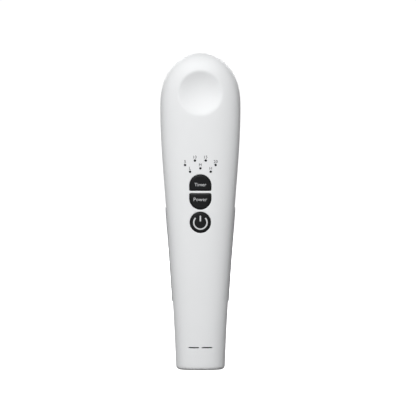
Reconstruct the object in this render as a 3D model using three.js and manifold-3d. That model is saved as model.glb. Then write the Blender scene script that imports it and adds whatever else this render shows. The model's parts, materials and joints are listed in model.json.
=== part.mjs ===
// Hand-held ultrasound therapy device, as an assembly of separate solids.
// Millimetres. +Z runs up the handle to the head, the keys face -Y and the
// treatment head faces +Y. The origin is in the flat end face it stands on.
import * as THREE from "three";
import { mergeVertices } from "three/addons/utils/BufferGeometryUtils.js";
import Module from "manifold-3d";

const wasm = await Module();
wasm.setup();

// ---------------------------------------------------------------- casing
const LENGTH = 225;
const WIDEST_Z = 186.3; // height of the widest section
const HALF_WIDTH = 28.5; // there
const CAP = LENGTH - WIDEST_Z; // height of the rounded top above it
const CAP_ROUND = 2.45; // exponent of the top's outline seen from the front
const CAP_FULL = 5; // exponent of the top's outline seen from the side
const SPLIT_Y = -1.5; // parting plane of the two shells
const FRONT_DEPTH = [13.8, 14.6]; // parting plane to front face, at tail and head
const BACK_DEPTH = [15.1, 15.8]; // parting plane to back face, at tail and head
const SECTION = 2.4; // exponent of the rounded cross-section
const END_RADIUS = 2.6; // edge round of the flat end
const WALL = 2.2;
const GAP = 0.3; // running gap between pieces
const SEAM = GAP / 2; // each shell stops this far from the parting plane
// Half width of the handle: height, half width, slope.
const HANDLE = [
  { z: 0, half: 17.4, slope: 0.03 },
  { z: 46, half: 19.6, slope: 0.062 },
  { z: 115.5, half: 24.5, slope: 0.073 },
  { z: WIDEST_Z, half: HALF_WIDTH, slope: 0 },
];

// ------------------------------------------------------------- dish, head
const HEAD_Z = 197; // axis of the treatment head and of the finger dish
const DISH_RADIUS = 15.5;
const DISH_DEPTH = 4;
const DISH_LEAN = 0.15; // how much deeper the dish is towards the top
const DISH_BACKING = { margin: 2, nearFace: 0.8, thickness: 2.1, spread: 0.92 }; // wall behind the dish
const BOSS = {
  foot: 25.4,
  waist: 24.2,
  rim: 22.8,
  bore: 21.6,
  mouth: 20.2,
  footY: 4,
  waistY: 14,
  lipY: 22.2,
  rimY: 25,
};
const BOSS_EDGE = 0.8; // chamfer of the rim
const CUP = {
  radius: 19.8,
  flange: 21.2,
  backY: 18.5,
  flangeY: 20.2,
  faceY: 37.8,
  face: 1.6,
  wall: 1.5,
  edge: 1.6,
};
const SEAL = { foot: 22.2, outside: 22.6, lip: 21, footRise: 0.5, shoulderRise: 1.4, rise: 2 };
const GASKET_Y = [20.5, 21.9];
const RETAINER = { bore: 15, frontY: 15.6, backY: 17.4, notch: 1.2 };
const GROUND = { bore: 13, frontY: 17.7, backY: 18.2, tab: [-13.5, -9], tabHalf: 2, turn: 20 };
const CRYSTAL = { radius: 12.5, thickness: 2.1 };
const HOLDER = { radius: 14.6, frontY: 30 };
const SENSOR = { half: 1.1, height: 2.6, distance: 16.4, turn: 45 };

// ------------------------------------------------------------------- keys
const KEY_HALF = 7.55; // half width of the paired keys, and their end radius
const PAIR_Z = 126.8; // middle of the timer and power pair
const PAIR_HALF = 12.2;
const PAIR_SPLIT = 2.25; // strip between the two
const KEY_CORNER = 0.6;
const ON_OFF_Z = 105.3;
const ON_OFF_RADIUS = 7.25;
const KEY_PROUD = 0.4;
const KEY_SKIN = 1.6;
const KEY_WALL = 1.4;
const KEY_FLANGE = 0.7;
const FLANGE_Y = [-12.65, -11.65];
const WINDOW_Y = -9; // how deep the front shell's openings are cut
const STEM_RADIUS = 2;
const STEM_ROOT = 2.6; // how far the stem starts inside the key's skin
const CLICK_GAP = 0.35; // stem to switch plunger at rest

// -------------------------------------------------------------- indicators
const ARC_Z = PAIR_Z + PAIR_HALF - KEY_HALF; // centre of both arcs of lights
const TIMER_ARC = 18.1;
const LEVEL_ARC = 12.2;
const ARC_STEP = 24.5; // degrees
const LIGHT_RADIUS = 0.8;
const LIGHT_CLEARANCE = 0.15;
const COLLAR = { radius: 1.5, gap: 0.6, thickness: 1 };
const LAMP_SIZE = { half: 0.7, thickness: 0.8, halfHeight: 1.1 };
const INDICATORS = [
  { name: "timer_5", radius: TIMER_ARC, step: -1.5 },
  { name: "timer_10", radius: TIMER_ARC, step: -0.5 },
  { name: "timer_15", radius: TIMER_ARC, step: 0.5 },
  { name: "timer_20", radius: TIMER_ARC, step: 1.5 },
  { name: "level_low", radius: LEVEL_ARC, step: -1.5 },
  { name: "level_medium", radius: LEVEL_ARC, step: 0 },
  { name: "level_high", radius: LEVEL_ARC, step: 1.5 },
].map((light) => {
  const turn = THREE.MathUtils.degToRad(light.step * ARC_STEP);
  return {
    ...light,
    x: light.radius * Math.sin(turn),
    z: ARC_Z + light.radius * Math.cos(turn),
  };
});

// ------------------------------------------------------------ circuit board
const BOARD = { frontY: -4.6, backY: -3.0, half: 15, tongue: 8, low: 9.5, neck: 33, shoulder: 37, high: 153 };
const SWITCH = { half: 3.1, thickness: 3.4, plunger: 1.65, reach: 0.9, well: 1.7, tail: 1.0, clearance: 0.15 };
const BOARD_SCREWS = [46, 122].flatMap((z) => [-12.4, 12.4].map((x) => ({ x, z })));
const CASE_SCREWS = [
  { x: -11.8, z: 25 },
  { x: 11.8, z: 25 },
  { x: -19.6, z: 160 },
  { x: 19.6, z: 160 },
];
const SCREW_SEAT_Y = 5;
const CASE_SCREW = { head: 2.3, headHeight: 1.8, shank: 1.15, reach: 14 };
const BOARD_SCREW = { head: 2.1, headHeight: 1.4, shank: 0.9, reach: 6 };
const BOARD_POST = { radius: 2.4, hole: 1.1, holeY: -11.2 };
const CASE_POST = { radius: 3.2, hole: 1.35, holeY: -9.4 };
const SCREW_WELL = { post: 3.4, radius: 2.7, hole: 1.5, frontGap: 1.8 };
const BOARD_HOLE = 1.3;
const LIP = { inset: 1.15, low: 2, reach: 1.3, room: 1.6 };
const COIL = { z: 124, flange: 6.8, core: 3, rim: 1.4, height: 9.6, clearance: 0.3, winding: 6.2 };
const HEAT_SINK = { z: 95, half: 9, foot: 1.6, height: 9.5, fins: 5, length: 15 };
const TRANSISTOR = { half: 5, height: 4.4, halfLength: 4.5, z: 88.5 };
const CAPACITOR = { radius: 5, height: 11, x: 4, z: 70 };
const CONTROLLER = { half: 3.5, height: 1.2, x: -3, z: 52 };
const SOCKET = { half: 7, height: 4, halfLength: 2.2, z: 149 };
const SOUND_SLOT = { z: 16.2, half: 3.7, radius: 0.45, offset: 4.7 };
const BUZZER = { radius: 6, frontY: -11.6, port: 1.1, portDepth: 2 };
const JACK = {
  y: 6.2,
  half: 4.6,
  depth: 4.4,
  socket: 3.1,
  pin: 1.0,
  faceZ: 3.7,
  tipZ: 5.2,
  floorZ: 13.2,
  backZ: 15.5,
};
const JACK_TAIL_Z = 17.5; // where its pin and contact end
const CONTACT = { half: 1.3, frontY: 3.95, backY: 4.35, startZ: 2, slotHalf: 1.6, slotY: 3.7, slotZ: 1.3 };
const JACK_POCKET = { half: 6.4, frontY: 0.2, backY: 13, low: 1, high: 14 };
const JACK_ROOM = { half: 4.9, frontY: 1.5, backY: 11.2, low: 3.4, high: 15 };
const PLUG_HOLE = 4.2;

// ------------------------------------------------------------- side grips
const GRIP = { low: 47.6, high: 115.4, frontY: SPLIT_Y + 0.35, backY: 8.2, proud: 0.5, bed: 0.9, corner: 3.4 };
const GROOVE = { count: 11, half: 0.6, depth: 0.45, start: 1.6 };
const LABEL = { half: 10.5, low: 56, high: 94, skin: 0.06, thickness: 0.3, bed: 0.65, corner: 1.6 };

// ------------------------------------------------------------ mesh helpers

/** A closed geometry as a manifold-3d solid with its faces pointing out. */
function solid(geometry) {
  geometry.deleteAttribute("normal");
  geometry.deleteAttribute("uv");
  const merged = mergeVertices(geometry, 1e-4);
  const vertProperties = new Float32Array(merged.attributes.position.array);
  const triVerts = new Uint32Array(merged.index.array);
  const made = new wasm.Manifold(new wasm.Mesh({ numProp: 3, vertProperties, triVerts }));
  if (made.volume() >= 0) return made;
  const turned = Uint32Array.from(triVerts, (_, i) => triVerts[i - (i % 3) + 2 - (i % 3)]);
  return new wasm.Manifold(new wasm.Mesh({ numProp: 3, vertProperties, triVerts: turned }));
}

/** A manifold-3d solid as a geometry that three.js can draw. */
function geometryOf(made) {
  const mesh = made.getMesh();
  const position = new Float32Array(mesh.numVert * 3);
  for (let i = 0; i < mesh.numVert; i++)
    for (let k = 0; k < 3; k++) position[3 * i + k] = mesh.vertProperties[mesh.numProp * i + k];
  const geometry = new THREE.BufferGeometry();
  geometry.setAttribute("position", new THREE.BufferAttribute(position, 3));
  geometry.setIndex(new THREE.BufferAttribute(new Uint32Array(mesh.triVerts), 1));
  geometry.computeVertexNormals();
  return geometry;
}

/** Closed rings of points stacked from one end point to the other, as a solid. */
function ringSolid(rings, startPoint, endPoint) {
  const count = rings[0].length;
  const points = [startPoint, ...rings.flat(), endPoint];
  const faces = [];
  const at = (ring, i) => 1 + ring * count + (i % count);
  for (let i = 0; i < count; i++) {
    faces.push(0, at(0, i + 1), at(0, i));
    faces.push(points.length - 1, at(rings.length - 1, i), at(rings.length - 1, i + 1));
    for (let r = 0; r + 1 < rings.length; r++) {
      faces.push(at(r, i), at(r, i + 1), at(r + 1, i + 1));
      faces.push(at(r, i), at(r + 1, i + 1), at(r + 1, i));
    }
  }
  const geometry = new THREE.BufferGeometry();
  geometry.setAttribute("position", new THREE.BufferAttribute(new Float32Array(points.flat()), 3));
  geometry.setIndex(faces);
  return solid(geometry);
}

const box = (x0, x1, y0, y1, z0, z1) =>
  solid(
    new THREE.BoxGeometry(x1 - x0, y1 - y0, z1 - z0).translate((x0 + x1) / 2, (y0 + y1) / 2, (z0 + z1) / 2),
  );

/** A box that is centred in x. */
const centredBox = ({ half, frontY, backY, low, high }) => box(-half, half, frontY, backY, low, high);

/** A cylinder along Y between two heights. */
const rodY = (radius, y0, y1, x = 0, z = 0, sides = 16) =>
  solid(new THREE.CylinderGeometry(radius, radius, y1 - y0, sides).translate(x, (y0 + y1) / 2, z));

/** A cylinder along Z between two heights. */
const rodZ = (radius, z0, z1, x = 0, y = 0, sides = 24) =>
  solid(
    new THREE.CylinderGeometry(radius, radius, z1 - z0, sides)
      .rotateX(Math.PI / 2)
      .translate(x, y, (z0 + z1) / 2),
  );

/** A profile of [radius, y] points turned about the Y axis. */
const turnedY = (profile, sides = 36) =>
  solid(
    new THREE.LatheGeometry(
      profile.map(([r, y]) => new THREE.Vector2(r, y)),
      sides,
    ),
  );

/** An outline in (x, z) pushed along Y. */
const prismY = (shape, y0, y1, curveSegments = 6) =>
  solid(
    new THREE.ExtrudeGeometry(shape, { depth: y1 - y0, bevelEnabled: false, curveSegments })
      .rotateX(Math.PI / 2)
      .translate(0, y1, 0),
  );

/** An outline in (y, z) pushed along X. */
const prismX = (shape, x0, x1) =>
  solid(
    new THREE.ExtrudeGeometry(shape, { depth: x1 - x0, bevelEnabled: false, curveSegments: 3 })
      .applyMatrix4(new THREE.Matrix4().set(0, 0, 1, 0, 1, 0, 0, 0, 0, 1, 0, 0, 0, 0, 0, 1))
      .translate(x0, 0, 0),
  );

/** A rectangle with rounded corners, as an outline. */
function roundedRect(x0, x1, z0, z1, radius) {
  const shape = new THREE.Shape();
  shape.absarc(x1 - radius, z0 + radius, radius, -Math.PI / 2, 0);
  shape.absarc(x1 - radius, z1 - radius, radius, 0, Math.PI / 2);
  shape.absarc(x0 + radius, z1 - radius, radius, Math.PI / 2, Math.PI);
  shape.absarc(x0 + radius, z0 + radius, radius, Math.PI, 1.5 * Math.PI);
  shape.closePath();
  return shape;
}

// ------------------------------------------------------------ casing shape

/** Cubic Hermite value through the handle's stations. */
function handleHalf(z) {
  const last = HANDLE.length - 2;
  const i = Math.min(last, Math.max(0, HANDLE.findIndex((s) => s.z > z) - 1));
  const [a, b] = [HANDLE[i], HANDLE[i + 1]];
  const span = b.z - a.z;
  const t = (z - a.z) / span;
  const rise = t * t * (3 - 2 * t);
  const bend = a.slope * t * (1 - t) * (1 - t) - b.slope * t * t * (1 - t);
  return a.half + (b.half - a.half) * rise + span * bend;
}

/** Half width and the two depths of the casing at a height, all taken in by inset. */
function sectionAt(z, inset = 0) {
  const share = Math.min(z / WIDEST_Z, 1);
  const front = THREE.MathUtils.lerp(...FRONT_DEPTH, share) - inset;
  const back = THREE.MathUtils.lerp(...BACK_DEPTH, share) - inset;
  if (z > WIDEST_Z) {
    const up = Math.min(1, (z - WIDEST_Z) / (CAP - inset));
    const full = Math.sqrt(1 - up ** CAP_FULL);
    const half = (HALF_WIDTH - inset) * Math.sqrt(1 - up ** CAP_ROUND);
    return { half, front: front * full, back: back * full };
  }
  const radius = Math.max(END_RADIUS - inset, 0.4);
  const left = Math.max(0, radius - (z - inset));
  const round = radius - Math.sqrt(radius * radius - left * left);
  return { half: handleHalf(z) - inset - round, front: front - round, back: back - round };
}

/** The y of the casing's front (side -1) or back (side 1) face over a point. */
function faceY(side, x, z, inset = 0) {
  const s = sectionAt(z, inset);
  const over = Math.max(0, 1 - Math.abs(x / s.half) ** SECTION);
  return SPLIT_Y + side * (side < 0 ? s.front : s.back) * over ** (1 / SECTION);
}

/** The whole casing's outer form, taken in by inset, as one solid. */
function casing(inset = 0, sides = 40) {
  const radius = Math.max(END_RADIUS - inset, 0.4);
  const heights = [];
  for (const turn of [0, 30, 60])
    heights.push(inset + radius * (1 - Math.cos(THREE.MathUtils.degToRad(turn))));
  const handleSteps = sides > 36 ? 13 : 9;
  for (let i = 0; i <= handleSteps; i++)
    heights.push(THREE.MathUtils.lerp(inset + radius, WIDEST_Z, i / handleSteps));
  const capSteps = sides > 36 ? 9 : 7;
  for (let i = 1; i < capSteps; i++)
    heights.push(WIDEST_Z + (CAP - inset) * Math.sin((i / capSteps) * (Math.PI / 2)));
  const power = 2 / SECTION;
  const rings = heights.map((z) => {
    const s = sectionAt(z, inset);
    return Array.from({ length: sides }, (_, i) => {
      const turn = (2 * Math.PI * i) / sides;
      const [c, d] = [Math.cos(turn), Math.sin(turn)];
      const depth = d > 0 ? s.back : s.front;
      return [
        s.half * Math.sign(c) * Math.abs(c) ** power,
        SPLIT_Y + depth * Math.sign(d) * Math.abs(d) ** power,
        z,
      ];
    });
  });
  return ringSolid(rings, [0, SPLIT_Y, inset], [0, SPLIT_Y, LENGTH - inset]);
}

const BIG = 300;
const OUT = 5; // how far a cutter reaches past the casing's skin
const INNER_SIDES = 28;
const ahead = (y) => box(-BIG, BIG, -BIG, y, -BIG, BIG);
const behind = (y) => box(-BIG, BIG, y, BIG, -BIG, BIG);

const outer = casing(0);
const inner = casing(WALL, INNER_SIDES);
const lipOutside = casing(LIP.inset, INNER_SIDES);
const lipSeat = casing(LIP.inset - GAP, INNER_SIDES);

/** A round plug about the head axis between two depths that follow the front face. */
function dishSolid(radius, nearY, farY) {
  const steps = 5;
  const sides = 32;
  const ring = (r, depth) =>
    Array.from({ length: sides }, (_, i) => {
      const turn = (-2 * Math.PI * i) / sides;
      const [x, z] = [r * Math.cos(turn), HEAD_Z + r * Math.sin(turn)];
      return [x, depth(r, x, z), z];
    });
  const rings = [];
  for (let i = 1; i <= steps; i++) rings.push(ring((radius * i) / steps, nearY));
  for (let i = steps; i >= 1; i--) rings.push(ring((radius * i) / steps, farY));
  return ringSolid(rings, [0, nearY(0, 0, HEAD_Z), HEAD_Z], [0, farY(0, 0, HEAD_Z), HEAD_Z]);
}

/** How far the finger dish lies below the front face; past its edge it runs on above the face. */
const dishFall = (r, z) =>
  DISH_DEPTH * (1 - (r / DISH_RADIUS) ** 2) * (1 + (DISH_LEAN * (z - HEAD_Z)) / DISH_RADIUS);

// ---------------------------------------------------------------- key shapes

/** The timer key's outline, grown by offset: flat below, round above. */
function timerOutline(offset) {
  const half = KEY_HALF + offset;
  const low = PAIR_Z + PAIR_SPLIT / 2 - offset;
  const corner = KEY_CORNER;
  const shape = new THREE.Shape();
  shape.absarc(half - corner, low + corner, corner, -Math.PI / 2, 0);
  shape.absarc(0, ARC_Z, half, 0, Math.PI);
  shape.absarc(-half + corner, low + corner, corner, Math.PI, 1.5 * Math.PI);
  shape.closePath();
  return shape;
}

/** The power key's outline: the timer key's, upside down. */
function powerOutline(offset) {
  const flipped = timerOutline(offset)
    .getPoints(6)
    .map((p) => new THREE.Vector2(p.x, 2 * PAIR_Z - p.y));
  return new THREE.Shape(flipped.reverse());
}

function onOffOutline(offset) {
  const shape = new THREE.Shape();
  shape.absarc(0, ON_OFF_Z, ON_OFF_RADIUS + offset, 0, Math.PI);
  shape.absarc(0, ON_OFF_Z, ON_OFF_RADIUS + offset, Math.PI, 2 * Math.PI);
  return shape;
}

const KEYS = [
  { name: "timer", outline: timerOutline, z: PAIR_Z + PAIR_HALF / 2 },
  { name: "power", outline: powerOutline, z: PAIR_Z - PAIR_HALF / 2 },
  { name: "on_off", outline: onOffOutline, z: ON_OFF_Z },
];
const switchFaceY = BOARD.frontY - GAP - SWITCH.thickness;
const plungerTipY = switchFaceY - SWITCH.reach;

/** A push key: a curved cap with a retaining flange and a stem for its switch. */
function keySolid({ outline, z }) {
  const slab = prismY(outline(0), -BIG, FLANGE_Y[0]).intersect(casing(-KEY_PROUD));
  const hollow = prismY(outline(-KEY_WALL), -BIG, BIG).intersect(casing(KEY_SKIN, 32));
  const flange = prismY(outline(KEY_FLANGE), ...FLANGE_Y);
  const stem = rodY(STEM_RADIUS, FLANGE_Y[0] - STEM_ROOT, plungerTipY - CLICK_GAP, 0, z, 14);
  return slab.add(flange).subtract(hollow).add(stem);
}

// -------------------------------------------------------------------- shells

const slotOutline = (side) => {
  const { z, half, radius, offset } = SOUND_SLOT;
  return roundedRect(side * offset - half, side * offset + half, z - radius, z + radius, radius * 0.999);
};

function frontShell() {
  const half = outer.subtract(inner).intersect(ahead(SPLIT_Y - SEAM));
  const lipSpan = box(-BIG, BIG, SPLIT_Y - LIP.low, SPLIT_Y + LIP.reach, -BIG, BIG);
  const lip = lipOutside.subtract(inner).intersect(lipSpan);
  const backing = dishSolid(
    DISH_RADIUS + DISH_BACKING.margin,
    (r, x, z) => faceY(-1, x, z) + DISH_BACKING.nearFace,
    (r, x, z) => faceY(-1, x, z) + DISH_BACKING.thickness + Math.max(0, dishFall(r * DISH_BACKING.spread, z)),
  );
  const dish = dishSolid(
    DISH_RADIUS + DISH_BACKING.margin,
    () => -BIG,
    (r, x, z) => faceY(-1, x, z) + dishFall(r, z),
  );
  let shell = half.add(lip).add(backing).subtract(dish);
  const core = casing(WALL / 2);
  for (const { x, z } of BOARD_SCREWS)
    shell = shell
      .add(rodY(BOARD_POST.radius, -BIG, BOARD.frontY - GAP, x, z, 14).intersect(core))
      .subtract(rodY(BOARD_POST.hole, BOARD_POST.holeY, 0, x, z, 10));
  for (const { x, z } of CASE_SCREWS)
    shell = shell
      .add(rodY(CASE_POST.radius, -BIG, SPLIT_Y - SEAM, x, z, 16).intersect(core))
      .subtract(rodY(CASE_POST.hole, CASE_POST.holeY, 0, x, z, 10));
  for (const key of KEYS) shell = shell.subtract(prismY(key.outline(GAP), -BIG, WINDOW_Y));
  for (const { x, z } of INDICATORS)
    shell = shell.subtract(rodY(LIGHT_RADIUS + LIGHT_CLEARANCE, -BIG, WINDOW_Y, x, z, 8));
  for (const side of [-1, 1]) shell = shell.subtract(prismY(slotOutline(side), -BIG, WINDOW_Y, 2));
  return shell;
}

/** The treatment head's boss on the rear shell: a tapered sleeve with an inner lip. */
const bossRing = () =>
  turnedY([
    [BOSS.bore, BOSS.footY],
    [BOSS.foot, BOSS.footY],
    [BOSS.waist, BOSS.waistY],
    [BOSS.rim, BOSS.rimY - BOSS_EDGE],
    [BOSS.rim - BOSS_EDGE, BOSS.rimY],
    [BOSS.mouth, BOSS.rimY],
    [BOSS.mouth, BOSS.lipY],
    [BOSS.bore, BOSS.lipY],
    [BOSS.bore, BOSS.footY],
  ]).translate([0, 0, HEAD_Z]);

/** The span in x of a cutter through one side of the handle. */
const sideReach = (side) => (side < 0 ? [-BIG, -2] : [2, BIG]);

const gripOutline = (offset) =>
  roundedRect(
    GRIP.frontY - offset,
    GRIP.backY + offset,
    GRIP.low - offset,
    GRIP.high + offset,
    GRIP.corner + offset,
  );
const labelOutline = (offset) =>
  roundedRect(
    -LABEL.half - offset,
    LABEL.half + offset,
    LABEL.low - offset,
    LABEL.high + offset,
    LABEL.corner + offset,
  );

function rearShell() {
  const half = outer.subtract(inner).intersect(behind(SPLIT_Y + SEAM));
  let shell = half.subtract(lipSeat.intersect(ahead(SPLIT_Y + LIP.room)));
  shell = shell.add(bossRing()).subtract(rodY(BOSS.bore, 0, BOSS.lipY - 1, 0, HEAD_Z, 36));
  const core = casing(WALL / 2);
  shell = shell.add(centredBox(JACK_POCKET).intersect(core)).subtract(centredBox(JACK_ROOM));
  shell = shell.subtract(rodZ(PLUG_HOLE, -1, JACK_ROOM.low + 0.5, 0, JACK.y));
  for (const { x, z } of CASE_SCREWS)
    shell = shell
      .add(rodY(SCREW_WELL.post, SPLIT_Y + SCREW_WELL.frontGap, BIG, x, z, 16).intersect(outer))
      .subtract(rodY(SCREW_WELL.radius, SCREW_SEAT_Y, BIG, x, z, 16))
      .subtract(rodY(SCREW_WELL.hole, SPLIT_Y, BIG, x, z, 12));
  const gripBed = casing(-OUT).subtract(casing(GRIP.bed + GAP));
  for (const side of [-1, 1]) {
    const cutter = prismX(gripOutline(GAP), ...sideReach(side));
    shell = shell.subtract(cutter.intersect(gripBed));
  }
  const labelBed = casing(-OUT).subtract(casing(LABEL.bed));
  return shell.subtract(prismY(labelOutline(GAP), 0, BIG, 2).intersect(labelBed));
}

/** A soft side grip with cross grooves; it stands a little proud of the shell. */
function gripSolid(side) {
  const [x0, x1] = sideReach(side);
  const skin = casing(-GRIP.proud).subtract(casing(GRIP.bed));
  let grip = prismX(gripOutline(0), x0, x1).intersect(skin);
  const grooveSkin = casing(-OUT).subtract(casing(-GRIP.proud + GROOVE.depth, 32));
  for (let i = 1; i <= GROOVE.count; i++) {
    const z = THREE.MathUtils.lerp(GRIP.low, GRIP.high, i / (GROOVE.count + 1));
    const bar = box(x0, x1, GRIP.frontY + GROOVE.start, BIG, z - GROOVE.half, z + GROOVE.half);
    grip = grip.subtract(bar.intersect(grooveSkin));
  }
  return grip;
}

function ratingLabel() {
  const skin = casing(LABEL.skin).subtract(casing(LABEL.skin + LABEL.thickness));
  return prismY(labelOutline(0), 0, BIG, 2).intersect(skin);
}

// ----------------------------------------------------------- treatment head

/** The radiating cup: flat face, tube wall and an inner flange. */
const treatmentCup = () =>
  turnedY(
    [
      [0, CUP.faceY],
      [CUP.radius - CUP.edge, CUP.faceY],
      [CUP.radius - 0.3 * CUP.edge, CUP.faceY - 0.3 * CUP.edge],
      [CUP.radius, CUP.faceY - CUP.edge],
      [CUP.radius, CUP.flangeY],
      [CUP.flange, CUP.flangeY],
      [CUP.flange, CUP.backY],
      [CUP.radius - CUP.wall, CUP.backY],
      [CUP.radius - CUP.wall, CUP.faceY - CUP.face],
      [0, CUP.faceY - CUP.face],
    ],
    48,
  );

/** A ring of rectangular section about the head axis. */
const ringY = (r0, r1, y0, y1, sides = 28) =>
  turnedY([[r0, y0], [r1, y0], [r1, y1], [r0, y1], [r0, y0]], sides);

/** The soft ring around the cup, on the boss's rim. */
function sealRing() {
  const foot = BOSS.rimY + GAP;
  const inside = CUP.radius + GAP;
  return turnedY([
    [inside, foot],
    [SEAL.foot, foot],
    [SEAL.outside, foot + SEAL.footRise],
    [SEAL.foot, foot + SEAL.shoulderRise],
    [SEAL.lip, foot + SEAL.rise],
    [inside, foot + SEAL.rise],
    [inside, foot],
  ]);
}

function retainingRing() {
  const { bore, frontY, backY, notch } = RETAINER;
  let ring = ringY(bore, CUP.flange, frontY, backY);
  for (const turn of [0, 90, 180, 270]) {
    const cutter = box(-notch, notch, 0, (frontY + backY) / 2, bore - 1, bore + 2);
    ring = ring.subtract(cutter.rotate([0, turn, 0]));
  }
  return ring;
}

function groundRing() {
  const { bore, frontY, backY, tab, tabHalf, turn } = GROUND;
  const lug = box(...tab, frontY, backY, -tabHalf, tabHalf).rotate([0, turn, 0]);
  return ringY(bore, CUP.flange, frontY, backY).add(lug);
}

// --------------------------------------------------------- electronics, jack

function controlBoard() {
  const { half, tongue, low, neck, shoulder, high, frontY, backY } = BOARD;
  const outline = new THREE.Shape(
    [
      [-tongue, low],
      [tongue, low],
      [tongue, neck],
      [half, shoulder],
      [half, high],
      [-half, high],
      [-half, shoulder],
      [-tongue, neck],
    ].map(([x, z]) => new THREE.Vector2(x, z)),
  );
  let board = prismY(outline, frontY, backY);
  for (const { x, z } of BOARD_SCREWS) board = board.subtract(rodY(BOARD_HOLE, -BIG, BIG, x, z, 12));
  return board;
}

/** A pan-head screw along Y: head towards +Y, seat at y = 0, cross recess. */
function screwSolid({ head, headHeight, shank, reach }) {
  const screw = turnedY(
    [
      [0, headHeight],
      [head * 0.7, headHeight],
      [head, headHeight * 0.5],
      [head, 0],
      [shank, 0],
      [shank, shank - reach],
      [0, -reach],
    ],
    10,
  );
  const arm = head * 0.62;
  const slotHalf = head * 0.14;
  const slot = box(-arm, arm, headHeight * 0.45, headHeight + 1, -slotHalf, slotHalf);
  return screw.subtract(slot).subtract(slot.rotate([0, 90, 0]));
}

function switchBody() {
  const { half, thickness, plunger, well } = SWITCH;
  const bore = rodY(plunger + SWITCH.clearance, -1, well, 0, 0, 16);
  return box(-half, half, 0, thickness, -half, half).subtract(bore);
}

/** A clear rod from the casing's face down to its lamp, with a collar behind the wall. */
function lightPipe({ x, z }) {
  const endY = BOARD.frontY - GAP - LAMP_SIZE.thickness - GAP;
  const collarY = faceY(-1, x, z, WALL) + COLLAR.gap;
  return rodY(LIGHT_RADIUS, -BIG, endY, x, z, 8)
    .intersect(outer)
    .add(rodY(COLLAR.radius, collarY, collarY + COLLAR.thickness, x, z, 8));
}

const buzzer = () => {
  const { radius, frontY, port, portDepth } = BUZZER;
  const backY = BOARD.frontY - GAP;
  return rodY(radius, frontY, backY, 0, 0, 24).subtract(rodY(port, frontY - 1, frontY + portDepth, 0, 0, 10));
};

function jackHousing() {
  const { half, depth, y, socket, pin, faceZ, floorZ, backZ } = JACK;
  const { slotHalf, slotY, slotZ } = CONTACT;
  return box(-half, half, y - depth, y + depth, faceZ, backZ)
    .subtract(rodZ(socket, faceZ - 1, floorZ, 0, y, 24))
    .subtract(rodZ(pin + 0.25, floorZ - 1, backZ + 1, 0, y, 12))
    .subtract(box(-slotHalf, slotHalf, y + slotY, y + depth + 1, faceZ + slotZ, backZ + 1));
}

function heatSink() {
  const { half, foot, height, fins, length } = HEAT_SINK;
  const shape = new THREE.Shape();
  const pitch = (2 * half) / (2 * fins - 1);
  shape.moveTo(-half, 0);
  shape.lineTo(half, 0);
  for (let i = 0; i < fins; i++) {
    const right = half - 2 * i * pitch;
    shape.lineTo(right, height);
    shape.lineTo(right - pitch, height);
    if (i < fins - 1) {
      shape.lineTo(right - pitch, foot);
      shape.lineTo(right - 2 * pitch, foot);
    }
  }
  shape.closePath();
  return solid(new THREE.ExtrudeGeometry(shape, { depth: length, bevelEnabled: false }));
}

/** A lead of round section along a smooth curve through the points. */
function lead(points, radius = 0.7, steps = 16) {
  const path = new THREE.CatmullRomCurve3(points.map((p) => new THREE.Vector3(...p)));
  const section = new THREE.Shape().absarc(0, 0, radius, 0, 2 * Math.PI);
  return solid(
    new THREE.ExtrudeGeometry(section, { steps, extrudePath: path, bevelEnabled: false, curveSegments: 3 }),
  );
}

// ----------------------------------------------------------------- materials

const plastic = (color, roughness = 0.45) =>
  new THREE.MeshStandardMaterial({ color, roughness, metalness: 0 });
const metal = (color, roughness = 0.3) =>
  new THREE.MeshStandardMaterial({ color, roughness, metalness: 1 });
const WHITE = plastic(0xe9eaeb, 0.42);
const GRIP_GREY = plastic(0x8a8d90, 0.75);
const KEY_BLACK = plastic(0x17181a, 0.5);
const SMOKED = plastic(0x121314, 0.2);
const ALUMINIUM = metal(0xc9ccd0, 0.25);
const STEEL = metal(0x9da0a5, 0.3);
const BRASS = metal(0xc9a24a, 0.35);
const COPPER = metal(0xb06a3c, 0.4);
const LABEL_SILVER = plastic(0xc6c9cc, 0.5);
const BOARD_GREEN = plastic(0x1f5a38, 0.5);
const PART_BLACK = plastic(0x1b1b1d, 0.55);
const CERAMIC = plastic(0xd9cfae, 0.5);
const RED = plastic(0xa02420, 0.5);
const LAMP = plastic(0xe6e2cf, 0.35);

// ------------------------------------------------------------------ assembly

const device = new THREE.Group();

function piece(parent, name, made, material, x = 0, y = 0, z = 0) {
  const mesh = new THREE.Mesh(geometryOf(made), material);
  mesh.name = name;
  mesh.position.set(x, y, z);
  parent.add(mesh);
  return mesh;
}

// Casing and what is fastened to it.
piece(device, "front_shell", frontShell(), WHITE);
piece(device, "rear_shell", rearShell(), WHITE);
piece(device, "grip_left", gripSolid(-1), GRIP_GREY);
piece(device, "grip_right", gripSolid(1), GRIP_GREY);
piece(device, "rating_label", ratingLabel(), LABEL_SILVER);
const caseScrew = screwSolid(CASE_SCREW);
CASE_SCREWS.forEach(({ x, z }, i) =>
  piece(device, `case_screw_${i + 1}`, caseScrew, STEEL, x, SCREW_SEAT_Y + GAP, z),
);

// Keys, with the switch under each.
for (const key of KEYS) {
  piece(device, `${key.name}_key`, keySolid(key), KEY_BLACK);
  piece(device, `${key.name}_switch`, switchBody(), PART_BLACK, 0, switchFaceY, key.z);
  const plunger = rodY(SWITCH.plunger, -SWITCH.reach, SWITCH.tail, 0, 0, 16);
  piece(device, `${key.name}_plunger`, plunger, STEEL, 0, switchFaceY, key.z);
}

// Indicator lights: a smoked rod over a lamp.
for (const light of INDICATORS) {
  piece(device, `light_pipe_${light.name}`, lightPipe(light), SMOKED);
  const { half, thickness, halfHeight } = LAMP_SIZE;
  const lamp = box(-half, half, 0, thickness, -halfHeight, halfHeight);
  piece(device, `lamp_${light.name}`, lamp, LAMP, light.x, BOARD.frontY - GAP - thickness, light.z);
}

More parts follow.
